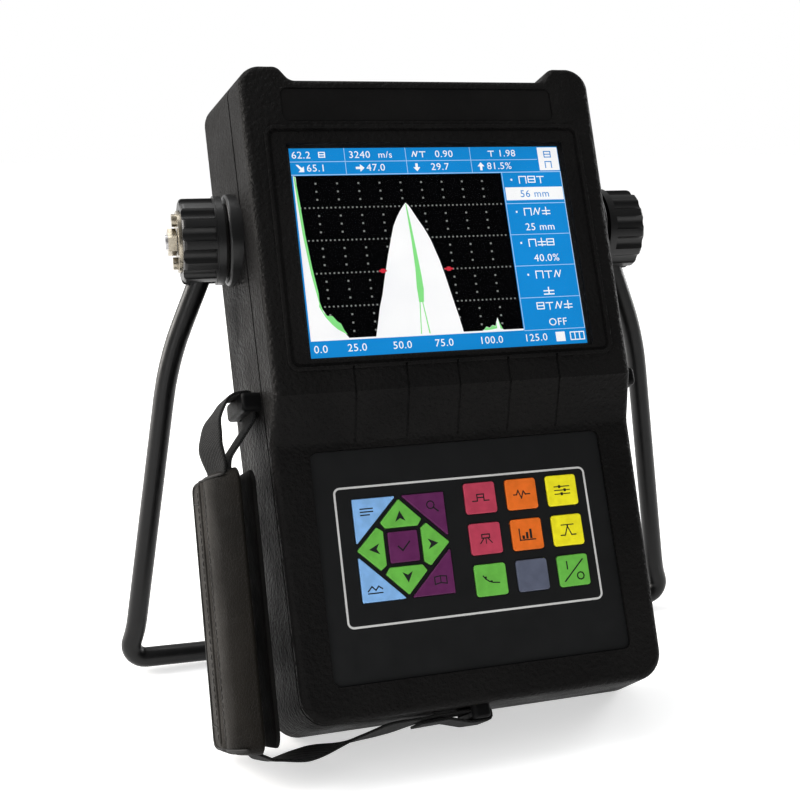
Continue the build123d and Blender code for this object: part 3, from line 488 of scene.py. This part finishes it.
def prism(bm, pts, y, t):
    """A flat shape on the case face: points (x, z) in mm, front at y, t deep."""
    area2 = sum(a[0] * b[1] - b[0] * a[1] for a, b in zip(pts, pts[1:] + pts[:1]))
    if area2 < 0:
        pts = pts[::-1]
    front = [bm.verts.new(P(x, y, z)) for x, z in pts]
    back = [bm.verts.new(P(x, y + t, z)) for x, z in pts]
    bm.faces.new(front)
    bm.faces.new(back[::-1])
    n = len(pts)
    for i in range(n):
        j = (i + 1) % n
        bm.faces.new((front[j], front[i], back[i], back[j]))


def shapes(name, polys, y, t, mat, body="case"):
    bm = bmesh.new()
    for pts in polys:
        prism(bm, list(pts), y, t)
    return new_object(name, bm, mat, body)


def bar(x0, z0, x1, z1):
    return [(x0, z0), (x1, z0), (x1, z1), (x0, z1)]


def stroke(pts, w, closed=False):
    """Outlines of a bent line of width w, one shape a stretch."""
    out = []
    pairs = list(zip(pts, pts[1:])) + ([(pts[-1], pts[0])] if closed else [])
    for (ax, az), (bx, bz) in pairs:
        dx, dz = bx - ax, bz - az
        k = math.hypot(dx, dz)
        ux, uz = dx / k * w / 2, dz / k * w / 2
        out.append([(ax - ux + uz, az - uz - ux), (bx + ux + uz, bz + uz - ux),
                    (bx + ux - uz, bz + uz + ux), (ax - ux - uz, az - uz + ux)])
    return out


def arc_pts(cx, cz, r, a0, a1, n):
    return [(cx + r * math.cos(math.radians(a0 + (a1 - a0) * i / n)),
             cz + r * math.sin(math.radians(a0 + (a1 - a0) * i / n))) for i in range(n + 1)]


def round_rect(x0, z0, x1, z1, r, n=6):
    out = []
    for cx, cz, a in ((x1 - r, z1 - r, 0), (x0 + r, z1 - r, 90), (x0 + r, z0 + r, 180), (x1 - r, z0 + r, 270)):
        out += arc_pts(cx, cz, r, a, a + 90, n)
    return out


def ring(name, outer, inner, y, t, mat):
    """A closed flat band between two outlines with the same number of points."""
    bm = bmesh.new()
    n = len(outer)
    rows = [[bm.verts.new(P(x, yy, z)) for x, z in pts] for pts, yy in
            ((outer, y), (inner, y), (inner, y + t), (outer, y + t))]
    for r in range(4):
        a, b = rows[r], rows[(r + 1) % 4]
        for i in range(n):
            j = (i + 1) % n
            bm.faces.new((a[i], a[j], b[j], b[i]))
    return new_object(name, bm, mat, "case")


def words(name, items, y, mat, thick=0.02, body="case"):
    """Small figures: (text, x, z, height in mm, x alignment)."""
    bm = bmesh.new()
    for text, x, z, h, align in items:
        cu = bpy.data.curves.new("t", "FONT")
        cu.body = text
        cu.size = h * 1.42 * 0.001
        cu.extrude = thick * 0.0005
        cu.align_x = align
        cu.space_character = 1.08
        cu.resolution_u = 3
        ob = bpy.data.objects.new("t", cu)
        COLL.objects.link(ob)
        dg = bpy.context.evaluated_depsgraph_get()
        me = bpy.data.meshes.new_from_object(ob.evaluated_get(dg))
        me.transform(face_matrix(x, y - thick / 2, z))
        bm.from_mesh(me)
        bpy.data.objects.remove(ob)
        bpy.data.curves.remove(cu)
        bpy.data.meshes.remove(me)
    bmesh.ops.remove_doubles(bm, verts=bm.verts, dist=1e-7)
    return new_object(name, bm, mat, body)


# ------------------------------------------------------------------ display
Y = -10.60
shapes("screen_field", [bar(-57.6, 123.3, 57.6, 209.7)], Y, 0.05, "lcd_blue")
Y -= 0.02
shapes("screen_black", [bar(-57.0, 130.0, 30.6, 198.0)], Y, 0.015, "lcd_black")
# dotted graticule, ten by five
dots = []
X0, Z0, DX, DZ = -57.0, 130.0, 8.76, 13.6
for r in range(1, 5):
    for i in range(1, 50):
        x = X0 + i * DX / 5
        dots.append(bar(x - 0.30, Z0 + r * DZ - 0.30, x + 0.30, Z0 + r * DZ + 0.30))
for c in range(1, 10):
    for i in range(1, 20):
        if i % 4:
            z = Z0 + i * DZ / 4
            x = X0 + c * DX
            dots.append(bar(x - 0.36, z - 0.36, x + 0.36, z + 0.36))
shapes("screen_graticule", dots, Y - 0.02, 0.015, "lcd_dot")
# echoes
main_echo = [(-31.0, 130.6), (-29.6, 136.0), (-28.1, 142.4), (-26.4, 147.5), (-24.9, 153.6), (-23.7, 158.0),
             (-22.5, 162.5), (-20.6, 169.0), (-18.4, 176.0), (-16.6, 179.6), (-14.9, 182.4), (-13.4, 184.4),
             (-12.2, 185.8), (-11.0, 184.6), (-9.8, 182.4), (-8.4, 179.6), (-7.1, 177.2), (-5.8, 174.8),
             (-4.8, 172.6), (-3.6, 169.8), (-2.4, 165.8), (-0.9, 160.8), (0.4, 155.0), (1.7, 148.3),
             (2.8, 142.8), (3.9, 137.6), (5.1, 130.6)]
left_echo = [(-57.0, 130.4), (-57.0, 197.9), (-56.0, 197.6), (-55.8, 189.0), (-55.2, 175.4), (-54.6, 166.0),
             (-54.0, 160.2), (-53.4, 154.0), (-52.4, 148.6), (-51.5, 143.6), (-50.6, 141.8), (-49.4, 139.6),
             (-48.0, 139.4), (-46.6, 137.6), (-45.2, 136.2), (-44.0, 133.8), (-42.8, 132.2), (-41.5, 130.4)]
right_echo = [(12.6, 130.4), (13.8, 131.2), (14.9, 132.4), (16.2, 131.8), (17.6, 132.9), (18.8, 132.4),
              (19.4, 134.2), (20.1, 135.9), (20.7, 133.4), (21.6, 131.2), (22.6, 130.4)]
shapes("screen_echoes", [main_echo, left_echo, right_echo, bar(-57.0, 130.0, 30.6, 130.7)], Y - 0.04, 0.015,
       "lcd_white")
# green envelope traces
green = [[(-56.8, 197.6), (-56.2, 197.6), (-55.3, 185.6), (-54.6, 173.0), (-53.3, 159.6), (-51.9, 149.4),
          (-51.9, 144.0), (-54.0, 157.0), (-55.6, 173.0), (-56.3, 186.0)],
         [(-51.9, 146.0), (-50.8, 141.6), (-49.4, 139.9), (-47.4, 139.8), (-45.8, 137.6), (-44.4, 136.6),
          (-43.4, 134.0), (-42.2, 132.0), (-43.8, 133.0), (-46.0, 134.4), (-47.8, 136.2), (-50.2, 139.4),
          (-52.3, 143.8)],
         [(-12.3, 185.4), (-11.9, 185.2), (-11.0, 176.0), (-10.2, 166.0), (-9.4, 155.0), (-9.2, 149.0),
          (-9.8, 143.8), (-11.8, 143.8), (-12.0, 150.0), (-11.6, 158.0), (-11.7, 170.0)],
         [(-11.6, 144.4), (-11.2, 144.4), (-12.3, 130.8), (-12.7, 130.8)],
         [(-10.6, 144.4), (-10.2, 144.4), (-8.7, 130.8), (-9.2, 130.8)],
         [(13.6, 130.9), (14.8, 132.3), (16.2, 131.7), (17.6, 132.8), (18.8, 132.2), (19.4, 134.0),
          (19.4, 131.4), (17.0, 131.0), (15.2, 130.9)],
         [(20.2, 135.6), (20.9, 133.2), (21.8, 131.0), (20.8, 131.2)]]
shapes("screen_traces", green, Y - 0.06, 0.015, "lcd_green")
gate = [bar(-26.6, 157.0, -23.4, 157.7), bar(0.6, 156.9, 4.2, 157.6),
        [(-25.8, 156.5), (-24.2, 156.5), (-24.2, 158.2), (-25.8, 158.2)],
        [(1.6, 156.4), (3.2, 156.4), (3.2, 158.1), (1.6, 158.1)]]
shapes("screen_gate", gate, Y - 0.08, 0.015, "lcd_red")
# rules between the fields, highlighted field and tab
rules = [bar(-57.6, 203.8, 47.8, 204.05), bar(-57.6, 198.2, 57.6, 198.5)]
rules += [bar(31.0, z, 57.6, z + 0.25) for z in (184.3, 170.7, 157.1, 143.4, 129.7)]
rules += [bar(30.9, 129.7, 31.15, 198.2), bar(57.3, 129.7, 57.6, 198.2)]
rules += [bar(x, 198.5, x + 0.22, 209.7) for x in (-35.2, -9.6, 18.2)]
shapes("screen_rules", rules, Y - 0.02, 0.015, "lcd_pale")
shapes("screen_white", [bar(31.6, 185.9, 57.2, 191.6), bar(48.4, 199.0, 57.4, 209.3), bar(44.2, 124.6, 48.2, 128.6)],
       Y - 0.02, 0.015, "lcd_white")


def label_bars(x, z, pattern, h=3.0, w=0.42):
    """A generic mark in place of a printed word: short strokes in small boxes."""
    out = []
    for i, kind in enumerate(pattern):
        cx = x + i * (h + 0.7)
        if kind == "g":
            out += stroke([(cx, z), (cx, z + h * 0.9), (cx + h * 0.9, z + h * 0.9), (cx + h * 0.9, z)], w)
        elif kind == "h":
            out += stroke([(cx, z + h * 0.15), (cx + h, z + h * 0.15)], w) + stroke([(cx, z + h * 0.55), (cx + h, z + h * 0.55)], w)
            out += stroke([(cx + h * 0.5, z), (cx + h * 0.5, z + h)], w)
        elif kind == "w":
            out += stroke([(cx, z + h * 0.1), (cx + h * 0.3, z + h * 0.9), (cx + h * 0.6, z + h * 0.1), (cx + h * 0.9, z + h * 0.9)], w)
        elif kind == "b":
            out += stroke([(cx, z + h * 0.1), (cx + h * 0.9, z + h * 0.1), (cx + h * 0.9, z + h * 0.9), (cx, z + h * 0.9)], w, True)
            out += stroke([(cx, z + h * 0.5), (cx + h * 0.9, z + h * 0.5)], w)
        elif kind == "t":
            out += stroke([(cx, z + h * 0.85), (cx + h * 0.9, z + h * 0.85)], w) + stroke([(cx + h * 0.45, z), (cx + h * 0.45, z + h * 0.85)], w)
        elif kind == "d":
            out.append(bar(cx + 0.2, z + h * 0.35, cx + 0.9, z + h * 0.6))
    return out


marks = []
for x, z, p in ((34.4, 193.4, "dgbt"), (34.6, 179.2, "dgwh"), (34.6, 165.6, "dghb"), (35.6, 151.8, "dgtw"),
                (38.0, 138.3, "btwh")):
    marks += label_bars(x, z, p, 3.3)
marks += label_bars(-45.6, 205.6, "b", 2.6) + label_bars(-6.8, 205.6, "wt", 2.6) + label_bars(26.4, 205.6, "t", 2.6)
marks += stroke([(42.0, 146.2), (46.2, 146.2)], 0.5) + stroke([(44.1, 144.9), (44.1, 147.6)], 0.5) + stroke([(42.0, 144.8), (46.2, 144.8)], 0.5)
for x, d in ((-55.4, "se"), (-31.0, "e"), (-5.4, "s"), (22.4, "n")):
    z = 201.1
    if d == "se":
        marks += [[(x, z + 1.6), (x + 0.9, z + 1.6), (x + 2.4, z + 0.2), (x + 3.2, z + 0.9), (x + 3.2, z - 1.5), (x + 0.9, z - 1.5), (x + 1.7, z - 0.6)]]
    elif d == "e":
        marks += [[(x, z - 0.5), (x + 1.8, z - 0.5), (x + 1.8, z - 1.6), (x + 3.6, z), (x + 1.8, z + 1.6), (x + 1.8, z + 0.5), (x, z + 0.5)]]
    else:
        f = 1 if d == "n" else -1
        marks += [[(x - 0.5, z - 1.7 * f), (x + 0.5, z - 1.7 * f), (x + 0.5, z), (x + 1.5, z), (x, z + 1.8 * f), (x - 1.5, z), (x - 0.5, z)]]
marks += stroke([(50.6, 125.0), (56.6, 125.0), (56.6, 128.2), (50.6, 128.2)], 0.4, True)
marks += stroke([(52.6, 125.0), (52.6, 128.2)], 0.4) + stroke([(54.6, 125.0), (54.6, 128.2)], 0.4)
shapes("screen_marks", marks, Y - 0.02, 0.015, "lcd_white")
figures = [("0.0", -56.2, 125.3, 3.0, "LEFT"), ("25.0", -39.0, 125.3, 3.0, "CENTER"), ("50.0", -20.8, 125.3, 3.0, "CENTER"),
           ("75.0", -3.6, 125.3, 3.0, "CENTER"), ("100.0", 16.2, 125.3, 3.0, "CENTER"), ("125.0", 35.4, 125.3, 3.0, "CENTER"),
           ("25 mm", 44.6, 172.6, 3.1, "CENTER"), ("40.0%", 45.4, 159.0, 3.1, "CENTER"), ("OFF", 46.0, 131.4, 3.1, "CENTER"),
           ("62.2", -56.8, 205.4, 3.0, "LEFT"), ("3240", -33.4, 205.4, 3.0, "LEFT"), ("m/s", -21.2, 205.4, 2.8, "LEFT"),
           ("0.90", 3.0, 205.4, 3.0, "LEFT"), ("1.98", 30.6, 205.4, 3.0, "LEFT"),
           ("65.1", -51.2, 199.8, 3.0, "LEFT"), ("47.0", -26.6, 199.8, 3.0, "LEFT"), ("29.7", 0.6, 199.8, 3.0, "LEFT"),
           ("81.5%", 25.0, 199.8, 3.0, "LEFT")]
words("screen_figures", figures, Y - 0.02, "lcd_white")
words("screen_value", [("56 mm", 44.4, 187.2, 3.1, "CENTER")], Y - 0.04, "lcd_blue")
tab = label_bars(51.2, 204.6, "b", 3.2) + label_bars(51.2, 200.2, "g", 3.0)
shapes("screen_tab", tab, Y - 0.04, 0.015, "lcd_blue")

# ------------------------------------------------------------------- keypad
ring("keypad_line", round_rect(-52.7, 20.4, 52.1, 74.2, 2.6), round_rect(-51.9, 21.2, 51.3, 73.4, 1.8), -0.03, 0.04,
     "ink_white")

NAV_X, NAV_Z = -27.4, 49.3
KEY_X, KEY_Z = (6.09, 23.55, 41.01), (65.18, 49.04, 32.90)
INK_Y = -0.72


def key_mark(key, polys, mat="ink"):
    shapes("mark_" + key, polys, INK_Y, 0.03, mat, key + "_press")


def arrow(angle, cx, cz, k=1.0):
    a = math.radians(angle)
    pts = [(0, 2.3), (2.1, -1.9), (0, -0.7), (-2.1, -1.9)]
    return [[(cx + k * (x * math.cos(a) - z * math.sin(a)), cz + k * (x * math.sin(a) + z * math.cos(a))) for x, z in pts]]


key_mark("key_up", arrow(0, NAV_X - 0.2, NAV_Z + 11.6))
key_mark("key_down", arrow(180, NAV_X + 0.2, NAV_Z - 11.6))
key_mark("key_left", arrow(90, NAV_X - 11.6, NAV_Z))
key_mark("key_right", arrow(-90, NAV_X + 11.6, NAV_Z))


def at(cx, cz, polys):
    return [[(cx + x, cz + z) for x, z in pts] for pts in polys]


W = 0.48
gate_icon = stroke([(-3.4, -1.2), (-1.4, -1.2), (-1.4, 1.4), (1.4, 1.4), (1.4, -1.2), (3.4, -1.2)], W) + stroke([(-1.4, 0.1), (1.4, 0.1)], W)
wave_icon = stroke([(-3.4, -0.2), (-2.2, -0.2), (-1.4, 1.5), (-0.3, -1.7), (0.8, 1.1), (1.6, -0.2), (3.4, -0.2)], W)
slider_icon = []
for dz, dx in ((1.5, -1.0), (0.0, 1.2), (-1.5, -0.3)):
    slider_icon += stroke([(-3.2, dz), (3.2, dz)], 0.4) + [bar(dx - 0.5, dz - 0.6, dx + 0.5, dz + 0.6)]
probe_icon = stroke([(-1.6, 1.6), (1.6, 1.6), (1.6, 0.2), (-1.6, 0.2)], W, True) + stroke([(-0.9, 0.0), (-2.4, -1.8)], 0.4) + stroke([(0.9, 0.0), (2.4, -1.8)], 0.4) + stroke([(0, 0.0), (0, -1.9)], 0.4)
gain_icon = stroke([(-3.2, -2.2), (-3.2, 2.2)], W) + stroke([(-3.2, -2.2), (3.2, -2.2)], W) + [bar(-2.2, -1.8, -1.2, -0.4), bar(-0.6, -1.8, 0.4, 0.8), bar(1.0, -1.8, 2.0, 2.0)]
peak_icon = stroke([(-3.2, -2.0), (-1.4, -2.0), (0, 1.5), (1.4, -2.0), (3.2, -2.0)], W) + stroke([(-2.6, 2.1), (2.6, 2.1)], 0.4) + [bar(-0.35, 1.4, 0.35, 2.0)]
curve_icon = stroke([(-3.2, 1.7), (-2.2, 0.4), (-1.0, -0.5), (0.6, -1.1), (3.2, -1.4)], W) + [bar(-2.6, 0.6, -1.8, 1.4), bar(-0.4, -1.1, 0.4, -0.3)]
power_icon = stroke([(-4.2, -4.0), (4.2, 4.0)], 0.55) + stroke([(-2.6, 0.8), (-2.6, 3.6)], 0.55) + stroke(arc_pts(2.6, -2.4, 1.4, 0, 330, 11), 0.5, True)
list_icon = stroke([(-2.4, 1.2), (2.4, 1.2)], 0.5) + stroke([(-2.4, 0.0), (2.4, 0.0)], 0.5) + stroke([(-2.4, -1.2), (1.0, -1.2)], 0.5)
chain_icon = stroke([(-2.8, -0.8), (-1.2, 0.9), (0.2, -0.6), (1.4, 0.8), (2.8, -0.2)], 0.5) + stroke([(-2.8, -1.7), (2.8, -1.7)], 0.45)
zoom_icon = stroke(arc_pts(-0.4, 0.4, 1.5, 0, 330, 11), 0.45, True) + stroke([(0.8, -0.8), (2.4, -2.2)], 0.6)
book_icon = stroke([(-2.4, -1.4), (0, -0.9), (2.4, -1.4), (2.4, 1.4), (0, 1.7), (-2.4, 1.4)], 0.45, True) + stroke([(0, -0.9), (0, 1.7)], 0.4)
check_icon = stroke([(-2.2, 0.2), (-0.6, -1.5), (2.4, 1.7)], 0.6)
for key, icon, r, c in (("key_r1c1", gate_icon, 0, 0), ("key_r1c2", wave_icon, 0, 1), ("key_r1c3", slider_icon, 0, 2),
                        ("key_r2c1", probe_icon, 1, 0), ("key_r2c2", gain_icon, 1, 1), ("key_r2c3", peak_icon, 1, 2),
                        ("key_r3c1", curve_icon, 2, 0), ("key_r3c3", power_icon, 2, 2)):
    key_mark(key, at(KEY_X[c], KEY_Z[r], icon))
key_mark("key_corner_tl", at(NAV_X - 13.2, NAV_Z + 14.6, list_icon))
key_mark("key_corner_bl", at(NAV_X - 13.2, NAV_Z - 14.8, chain_icon))
key_mark("key_corner_tr", at(NAV_X + 13.0, NAV_Z + 14.6, zoom_icon))
key_mark("key_corner_br", at(NAV_X + 13.0, NAV_Z - 14.4, book_icon))
key_mark("key_enter", at(NAV_X, NAV_Z, check_icon))

# ------------------------------------------------------- hand strap and pad
SL = math.atan(0.16)
CS, SS = math.cos(SL), math.sin(SL)
PAD_W = 72.7 + (36.0 + 12.7) * 2.5 / 112.7


def Q(t, n, z, w=PAD_W):
    """Pad coordinates: t into the depth along the wall, n outward, z up."""
    return P(-(w + n * CS + t * SS), t * CS - n * SS, z)


def loft_rings(bm, rings, cap=True):
    rows = [[bm.verts.new(p) for p in r] for r in rings]
    n = len(rows[0])
    for a, b in zip(rows, rows[1:]):
        for i in range(n):
            j = (i + 1) % n
            bm.faces.new((a[i], a[j], b[j], b[i]))
    if cap:
        bm.faces.new(rows[0][::-1])
        bm.faces.new(rows[-1])
    return rows


def smooth_closed(pts, n):
    """A smooth closed curve through control points, n samples."""
    out = []
    m = len(pts)
    for k in range(n):
        u = k / n * m
        i = int(u)
        f = u - i
        p = [pts[(i + j - 1) % m] for j in range(4)]
        out.append(tuple(0.5 * (2 * p[1][d] + (p[2][d] - p[0][d]) * f + (2 * p[0][d] - 5 * p[1][d] + 4 * p[2][d] - p[3][d]) * f * f
                                + (3 * p[1][d] - p[0][d] - 3 * p[2][d] + p[3][d]) * f ** 3) for d in (0, 1)))
    return out


# outer pad: crowned, with a lengthwise welt
OUT_SECTION = [(3.0, 13.2), (10, 13.0), (20, 13.0), (30, 13.0), (38.0, 13.0), (40.6, 13.3), (41.2, 15.0), (41.3, 18.0),
               (41.2, 20.6), (40.4, 22.2), (38.5, 22.7), (34.5, 22.9), (31.0, 22.9), (29.6, 22.3), (28.2, 23.1), (26.4, 23.4),
               (24.8, 22.9), (23.6, 22.2), (22.0, 22.7), (19.0, 22.7), (15.5, 22.0), (12.0, 20.9), (8.8, 19.4), (5.8, 17.6),
               (3.2, 15.7), (1.6, 14.2)]


def pad_mesh(section, z0, z1, round_z, n_ring=96, n_len=90, sag=0.0):
    cen = (sum(p[0] for p in section) / len(section), sum(p[1] for p in section) / len(section))
    base = smooth_closed(section, n_ring)
    n0 = min(p[1] for p in section)
    rings = []
    zs = []
    for i in range(n_len + 1):
        u = i / n_len
        u = 0.5 - 0.5 * math.cos(math.pi * u)
        zs.append(z0 + (z1 - z0) * u)
    for z in zs:
        d = min(z - z0, z1 - z)
        half = 0.5 * (max(p[0] for p in section) - min(p[0] for p in section))
        cut = round_z - math.sqrt(max(0.0, round_z ** 2 - (round_z - d) ** 2)) if d < round_z else 0.0
        kt = 1 - cut / half           # corners rounded in plan
        kn = 0.45 + 0.55 * (math.sqrt(max(0.0, 1 - (1 - d / 4.0) ** 2)) if d < 4.0 else 1.0)
        wave = sag * math.sin((z - z0) / (z1 - z0) * math.pi * 7 + 0.6) * (1 if 0 < d else 0)
        ring_pts = []
        for t, n in base:
            tt = cen[0] + (t - cen[0]) * kt
            nn = n0 + (n - n0) * kn
            top = (n - n0) / 9.0
            ring_pts.append(Q(tt, nn + wave * top * math.sin(t * 0.5), z))
        rings.append(ring_pts)
    return rings


bm = bmesh.new()
loft_rings(bm, pad_mesh(OUT_SECTION, -20.2, 86.6, 7.0, 144, 120, sag=0.10))
pad = new_object("pad_outer", bm, "leather", "case", True)
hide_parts("hand_pad")

IN_SECTION = [(3.0, 7.45), (12, 7.4), (22, 7.4), (32, 7.4), (39.2, 7.5), (39.9, 8.3), (39.0, 9.1), (30, 9.3), (20, 9.35), (10, 9.3),
              (3.4, 9.1), (2.5, 8.3)]
bm = bmesh.new()
loft_rings(bm, pad_mesh(IN_SECTION, -18.6, 85.0, 6.0, 64, 70))
liner = new_object("pad_inner", bm, "liner", "case", True)
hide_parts("pad_liner")


def tube(bm, pts, r, seg=8):
    """A closed round tube along points."""
    rings = []
    n = len(pts)
    side = None
    for i, p in enumerate(pts):
        a, b = pts[max(0, i - 1)], pts[min(n - 1, i + 1)]
        d = (b - a).normalized()
        if side is None:
            side = d.cross(Vector((0.3, 0.5, 0.8))).normalized()
        side = (side - d * side.dot(d)).normalized()
        o = d.cross(side)
        k = r * (0.35 if i in (0, n - 1) else 1.0)
        rings.append([p + (side * math.cos(2 * math.pi * j / seg) + o * math.sin(2 * math.pi * j / seg)) * k for j in range(seg)])
    loft_rings(bm, rings)


SKIN = smooth_closed(OUT_SECTION, 600)


def outer_n(t, z):
    """Height of the outer pad's surface at (t, z)."""
    top = [p for p in SKIN if p[1] > 13.8]
    best = min(top, key=lambda p: abs(p[0] - t) - 0.001 * p[1])
    d = min(z + 20.2, 86.6 - z)
    k = math.sqrt(max(0.0, 1 - (1 - d / 4.0) ** 2)) if d < 4.0 else 1.0
    return 13.0 + (best[1] - 13.0) * (0.45 + 0.55 * k)


def on_pad(path, lift):
    return [Q(t, outer_n(t, z) + lift, z) for t, z in path]


def densify(path, gap=1.2):
    out = [path[0]]
    for (t0, z0), (t1, z1) in zip(path, path[1:]):
        k = max(1, int(math.hypot(t1 - t0, z1 - z0) / gap))
        out += [(t0 + (t1 - t0) * i / k, z0 + (z1 - z0) * i / k) for i in range(1, k + 1)]
    return out


# binding round the outer panel, and a welt cord along the lengthwise seam
bm = bmesh.new()
edge = arc_pts(34.6, 79.0, 5.2, 0, 90, 8)
low = arc_pts(34.6, -12.6, 5.2, -90, 0, 8)
tube(bm, on_pad(densify([(7.0, 84.2)] + edge[::-1] + low[::-1] + [(7.0, -17.8)]), 0.10), 0.0006, 8)
new_object("pad_binding", bm, "dark_leather", "case", True)
bm = bmesh.new()
tube(bm, on_pad([(26.4, -16.4 + i * 1.5) for i in range(68)], 0.05), 0.00060, 8)
new_object("pad_welt", bm, "leather", "case", True)
bm = bmesh.new()
tube(bm, on_pad([(29.6, -16.9 + i * 1.5) for i in range(68)], 0.0), 0.00032, 6)
tube(bm, on_pad([(23.6, -16.4 + i * 1.5) for i in range(68)], 0.0), 0.00030, 6)
new_object("pad_seams", bm, "dark_leather", "case", True)


def stitch_row(bm, path, pitch, length, r):
    """Short raised stitches along a line of (t, z), following the pad."""
    total = 0.0
    for (t0, z0), (t1, z1) in zip(path, path[1:]):
        seg = math.hypot(t1 - t0, z1 - z0)
        k = int(seg / pitch)
        for i in range(k):
            a = (i + 0.15) * pitch / seg
            b = a + length / seg
            ps = []
            for j in range(5):
                f = a + (b - a) * j / 4
                t, z = t0 + (t1 - t0) * f, z0 + (z1 - z0) * f
                ps.append(Q(t, outer_n(t, z) + 0.10 + 0.22 * math.sin(math.pi * j / 4), z))
            tube(bm, ps, r, 6)
        total += seg
    return total


bm = bmesh.new()
stitch_row(bm, [(31.6, -15.0), (31.6, 82.0)], 3.0, 2.2, 0.00020)
stitch_row(bm, [(21.4, -15.0), (21.4, 82.0)], 3.0, 2.2, 0.00020)
new_object("pad_stitches", bm, "thread", "case", True)
bm = bmesh.new()
for z in (76.5, -9.5):
    tube(bm, on_pad(densify([(30.2, z - 0.6), (34, z - 0.2), (37, z + 0.1), (39.4, z + 0.9)]), 0.05), 0.00034, 6)
new_object("pad_cross_seams", bm, "dark_leather", "case", True)


# flat woven straps
def rounded_path(pts, closed=False, step=10):
    """(x, y, radius) corners to a list of points with rounded corners."""
    out = []
    n = len(pts)
    for i, (x, y, r) in enumerate(pts):
        if not closed and i in (0, n - 1) or r == 0:
            out.append((x, y))
            continue
        ax, ay, _ = pts[(i - 1) % n]
        bx, by, _ = pts[(i + 1) % n]
        u = Vector((ax - x, ay - y))
        v = Vector((bx - x, by - y))
        ang = u.angle(v)
        d = min(r / math.tan(ang / 2), 0.48 * u.length, 0.48 * v.length)
        r2 = d * math.tan(ang / 2)
        cen = Vector((x, y)) + (u.normalized() + v.normalized()).normalized() * (r2 / math.sin(ang / 2))
        p0 = Vector((x, y)) + u.normalized() * d
        p1 = Vector((x, y)) + v.normalized() * d
        a0, a1 = math.atan2(p0.y - cen.y, p0.x - cen.x), math.atan2(p1.y - cen.y, p1.x - cen.x)
        da = (a1 - a0 + math.pi) % (2 * math.pi) - math.pi
        for k in range(step + 1):
            a = a0 + da * k / step
            out.append((cen.x + r2 * math.cos(a), cen.y + r2 * math.sin(a)))
    return out


def resample(pts, gap, closed):
    pts = [Vector(p) for p in pts]
    if closed:
        pts.append(pts[0])
    out, need = [pts[0]], gap
    for a, b in zip(pts, pts[1:]):
        seg = (b - a).length
        pos = need
        while pos < seg:
            out.append(a.lerp(b, pos / seg))
            pos += gap
        need = pos - seg
    if not closed:
        out.append(pts[-1])
    return out


def band(name, path, place, width, thick, closed, twist=None):
    """A woven band: path of 2D points, place(u, v, w) to the row frame."""
    pts = resample(path, 1.0, closed)
    n = len(pts)
    bm = bmesh.new()
    prof = []
    for j in range(13):          # across the width, softened selvedges
        w = -width / 2 + width * j / 12
        e = 1 - 0.28 * max(0.0, (abs(w) - width / 2 + 1.2) / 1.2)
        rib = 1 + 0.05 * math.cos(j * math.pi)
        prof.append((w, thick / 2 * e * rib))
    section = [(w, h) for w, h in prof] + [(w, -h) for w, h in reversed(prof)]
    rings = []
    for i, p in enumerate(pts):
        a = pts[(i - 1) % n] if closed else pts[max(0, i - 1)]
        b = pts[(i + 1) % n] if closed else pts[min(n - 1, i + 1)]
        d = (b - a).normalized()
        nrm = Vector((-d.y, d.x))
        row = section
        if twist:
            f = math.radians(twist(p.x, i / (n - 1)))
            row = [(w * math.cos(f) - h * math.sin(f), w * math.sin(f) + h * math.cos(f)) for w, h in section]
        rings.append([place(p.x + nrm.x * h, p.y + nrm.y * h, w) for w, h in row])
    if closed:
        rows = [[bm.verts.new(q) for q in r] for r in rings]
        k = len(section)
        for i in range(n):
            a, b = rows[i], rows[(i + 1) % n]
            for j in range(k):
                m2 = (j + 1) % k
                bm.faces.new((a[j], a[m2], b[m2], b[j]))
    else:
        loft_rings(bm, rings)
    return new_object(name, bm, "web", "case", True)


LUG_W = 75.2 + (111.5 - 100.0) * 2.2 / 146.7
loop_path = rounded_path([(16.6, 78, 0), (16.8, 88.0, 5), (18.6, 96.0, 9), (17.2, 106.0, 10), (10.8, 115.4, 6), (3.2, 116.3, 1.5),
                          (1.75, 111.5, 3), (2.2, 104.6, 6), (13.4, 90.0, 8), (14.6, 78, 0)])


def loop_twist(x, f):
    """Degrees of roll: the outer strand turns a little towards the front."""
    a = max(0.0, 1 - abs(f - 0.20) / 0.22)
    return -15.0 * a * a * (3 - 2 * a)


loop = band("webbing_loop", loop_path, lambda u, v, w: Q(16.5 + w, u, v, LUG_W), 17.8, 1.15, False, loop_twist)
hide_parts("strap_loop")

UC, US = CS, SS


def under(x, down, t):
    """Below the case: x right, down away from the bottom, t into the depth."""
    return P(x, t * UC - down * US, -12.7 - t * US - down * UC)


def tail_twist(x, f):
    """Degrees of roll along the tail: it hangs a little turned, then lies flat."""
    if f > 0.72:
        return 0.0
    a = max(0.0, 1 - abs(x + 70) / 20.0)
    b = max(0.0, 1 - abs(x + 38) / 16.0)
    return -19.0 * a * a * (3 - 2 * a) + 7.0 * b * b * (3 - 2 * b)


tail_path = rounded_path([(-91.5, 0.0, 0), (-91.5, 5.0, 4), (-84.0, 8.2, 7), (-72.0, 8.0, 16), (-56.0, 5.9, 30), (-39.0, 3.1, 30),
                          (-20.0, 1.4, 12), (1.4, 1.3, 1.6), (1.4, 5.7, 1.6), (-7.0, 5.7, 3), (-15.0, 3.3, 4), (-27.0, 3.6, 0)])
tail = band("webbing_tail", tail_path, lambda u, v, w: under(u, v, 16.5 + w), 17.8, 1.15, False, tail_twist)
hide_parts("strap_tail")

# -------------------------------------------------------------------- update
bpy.context.view_layer.update()
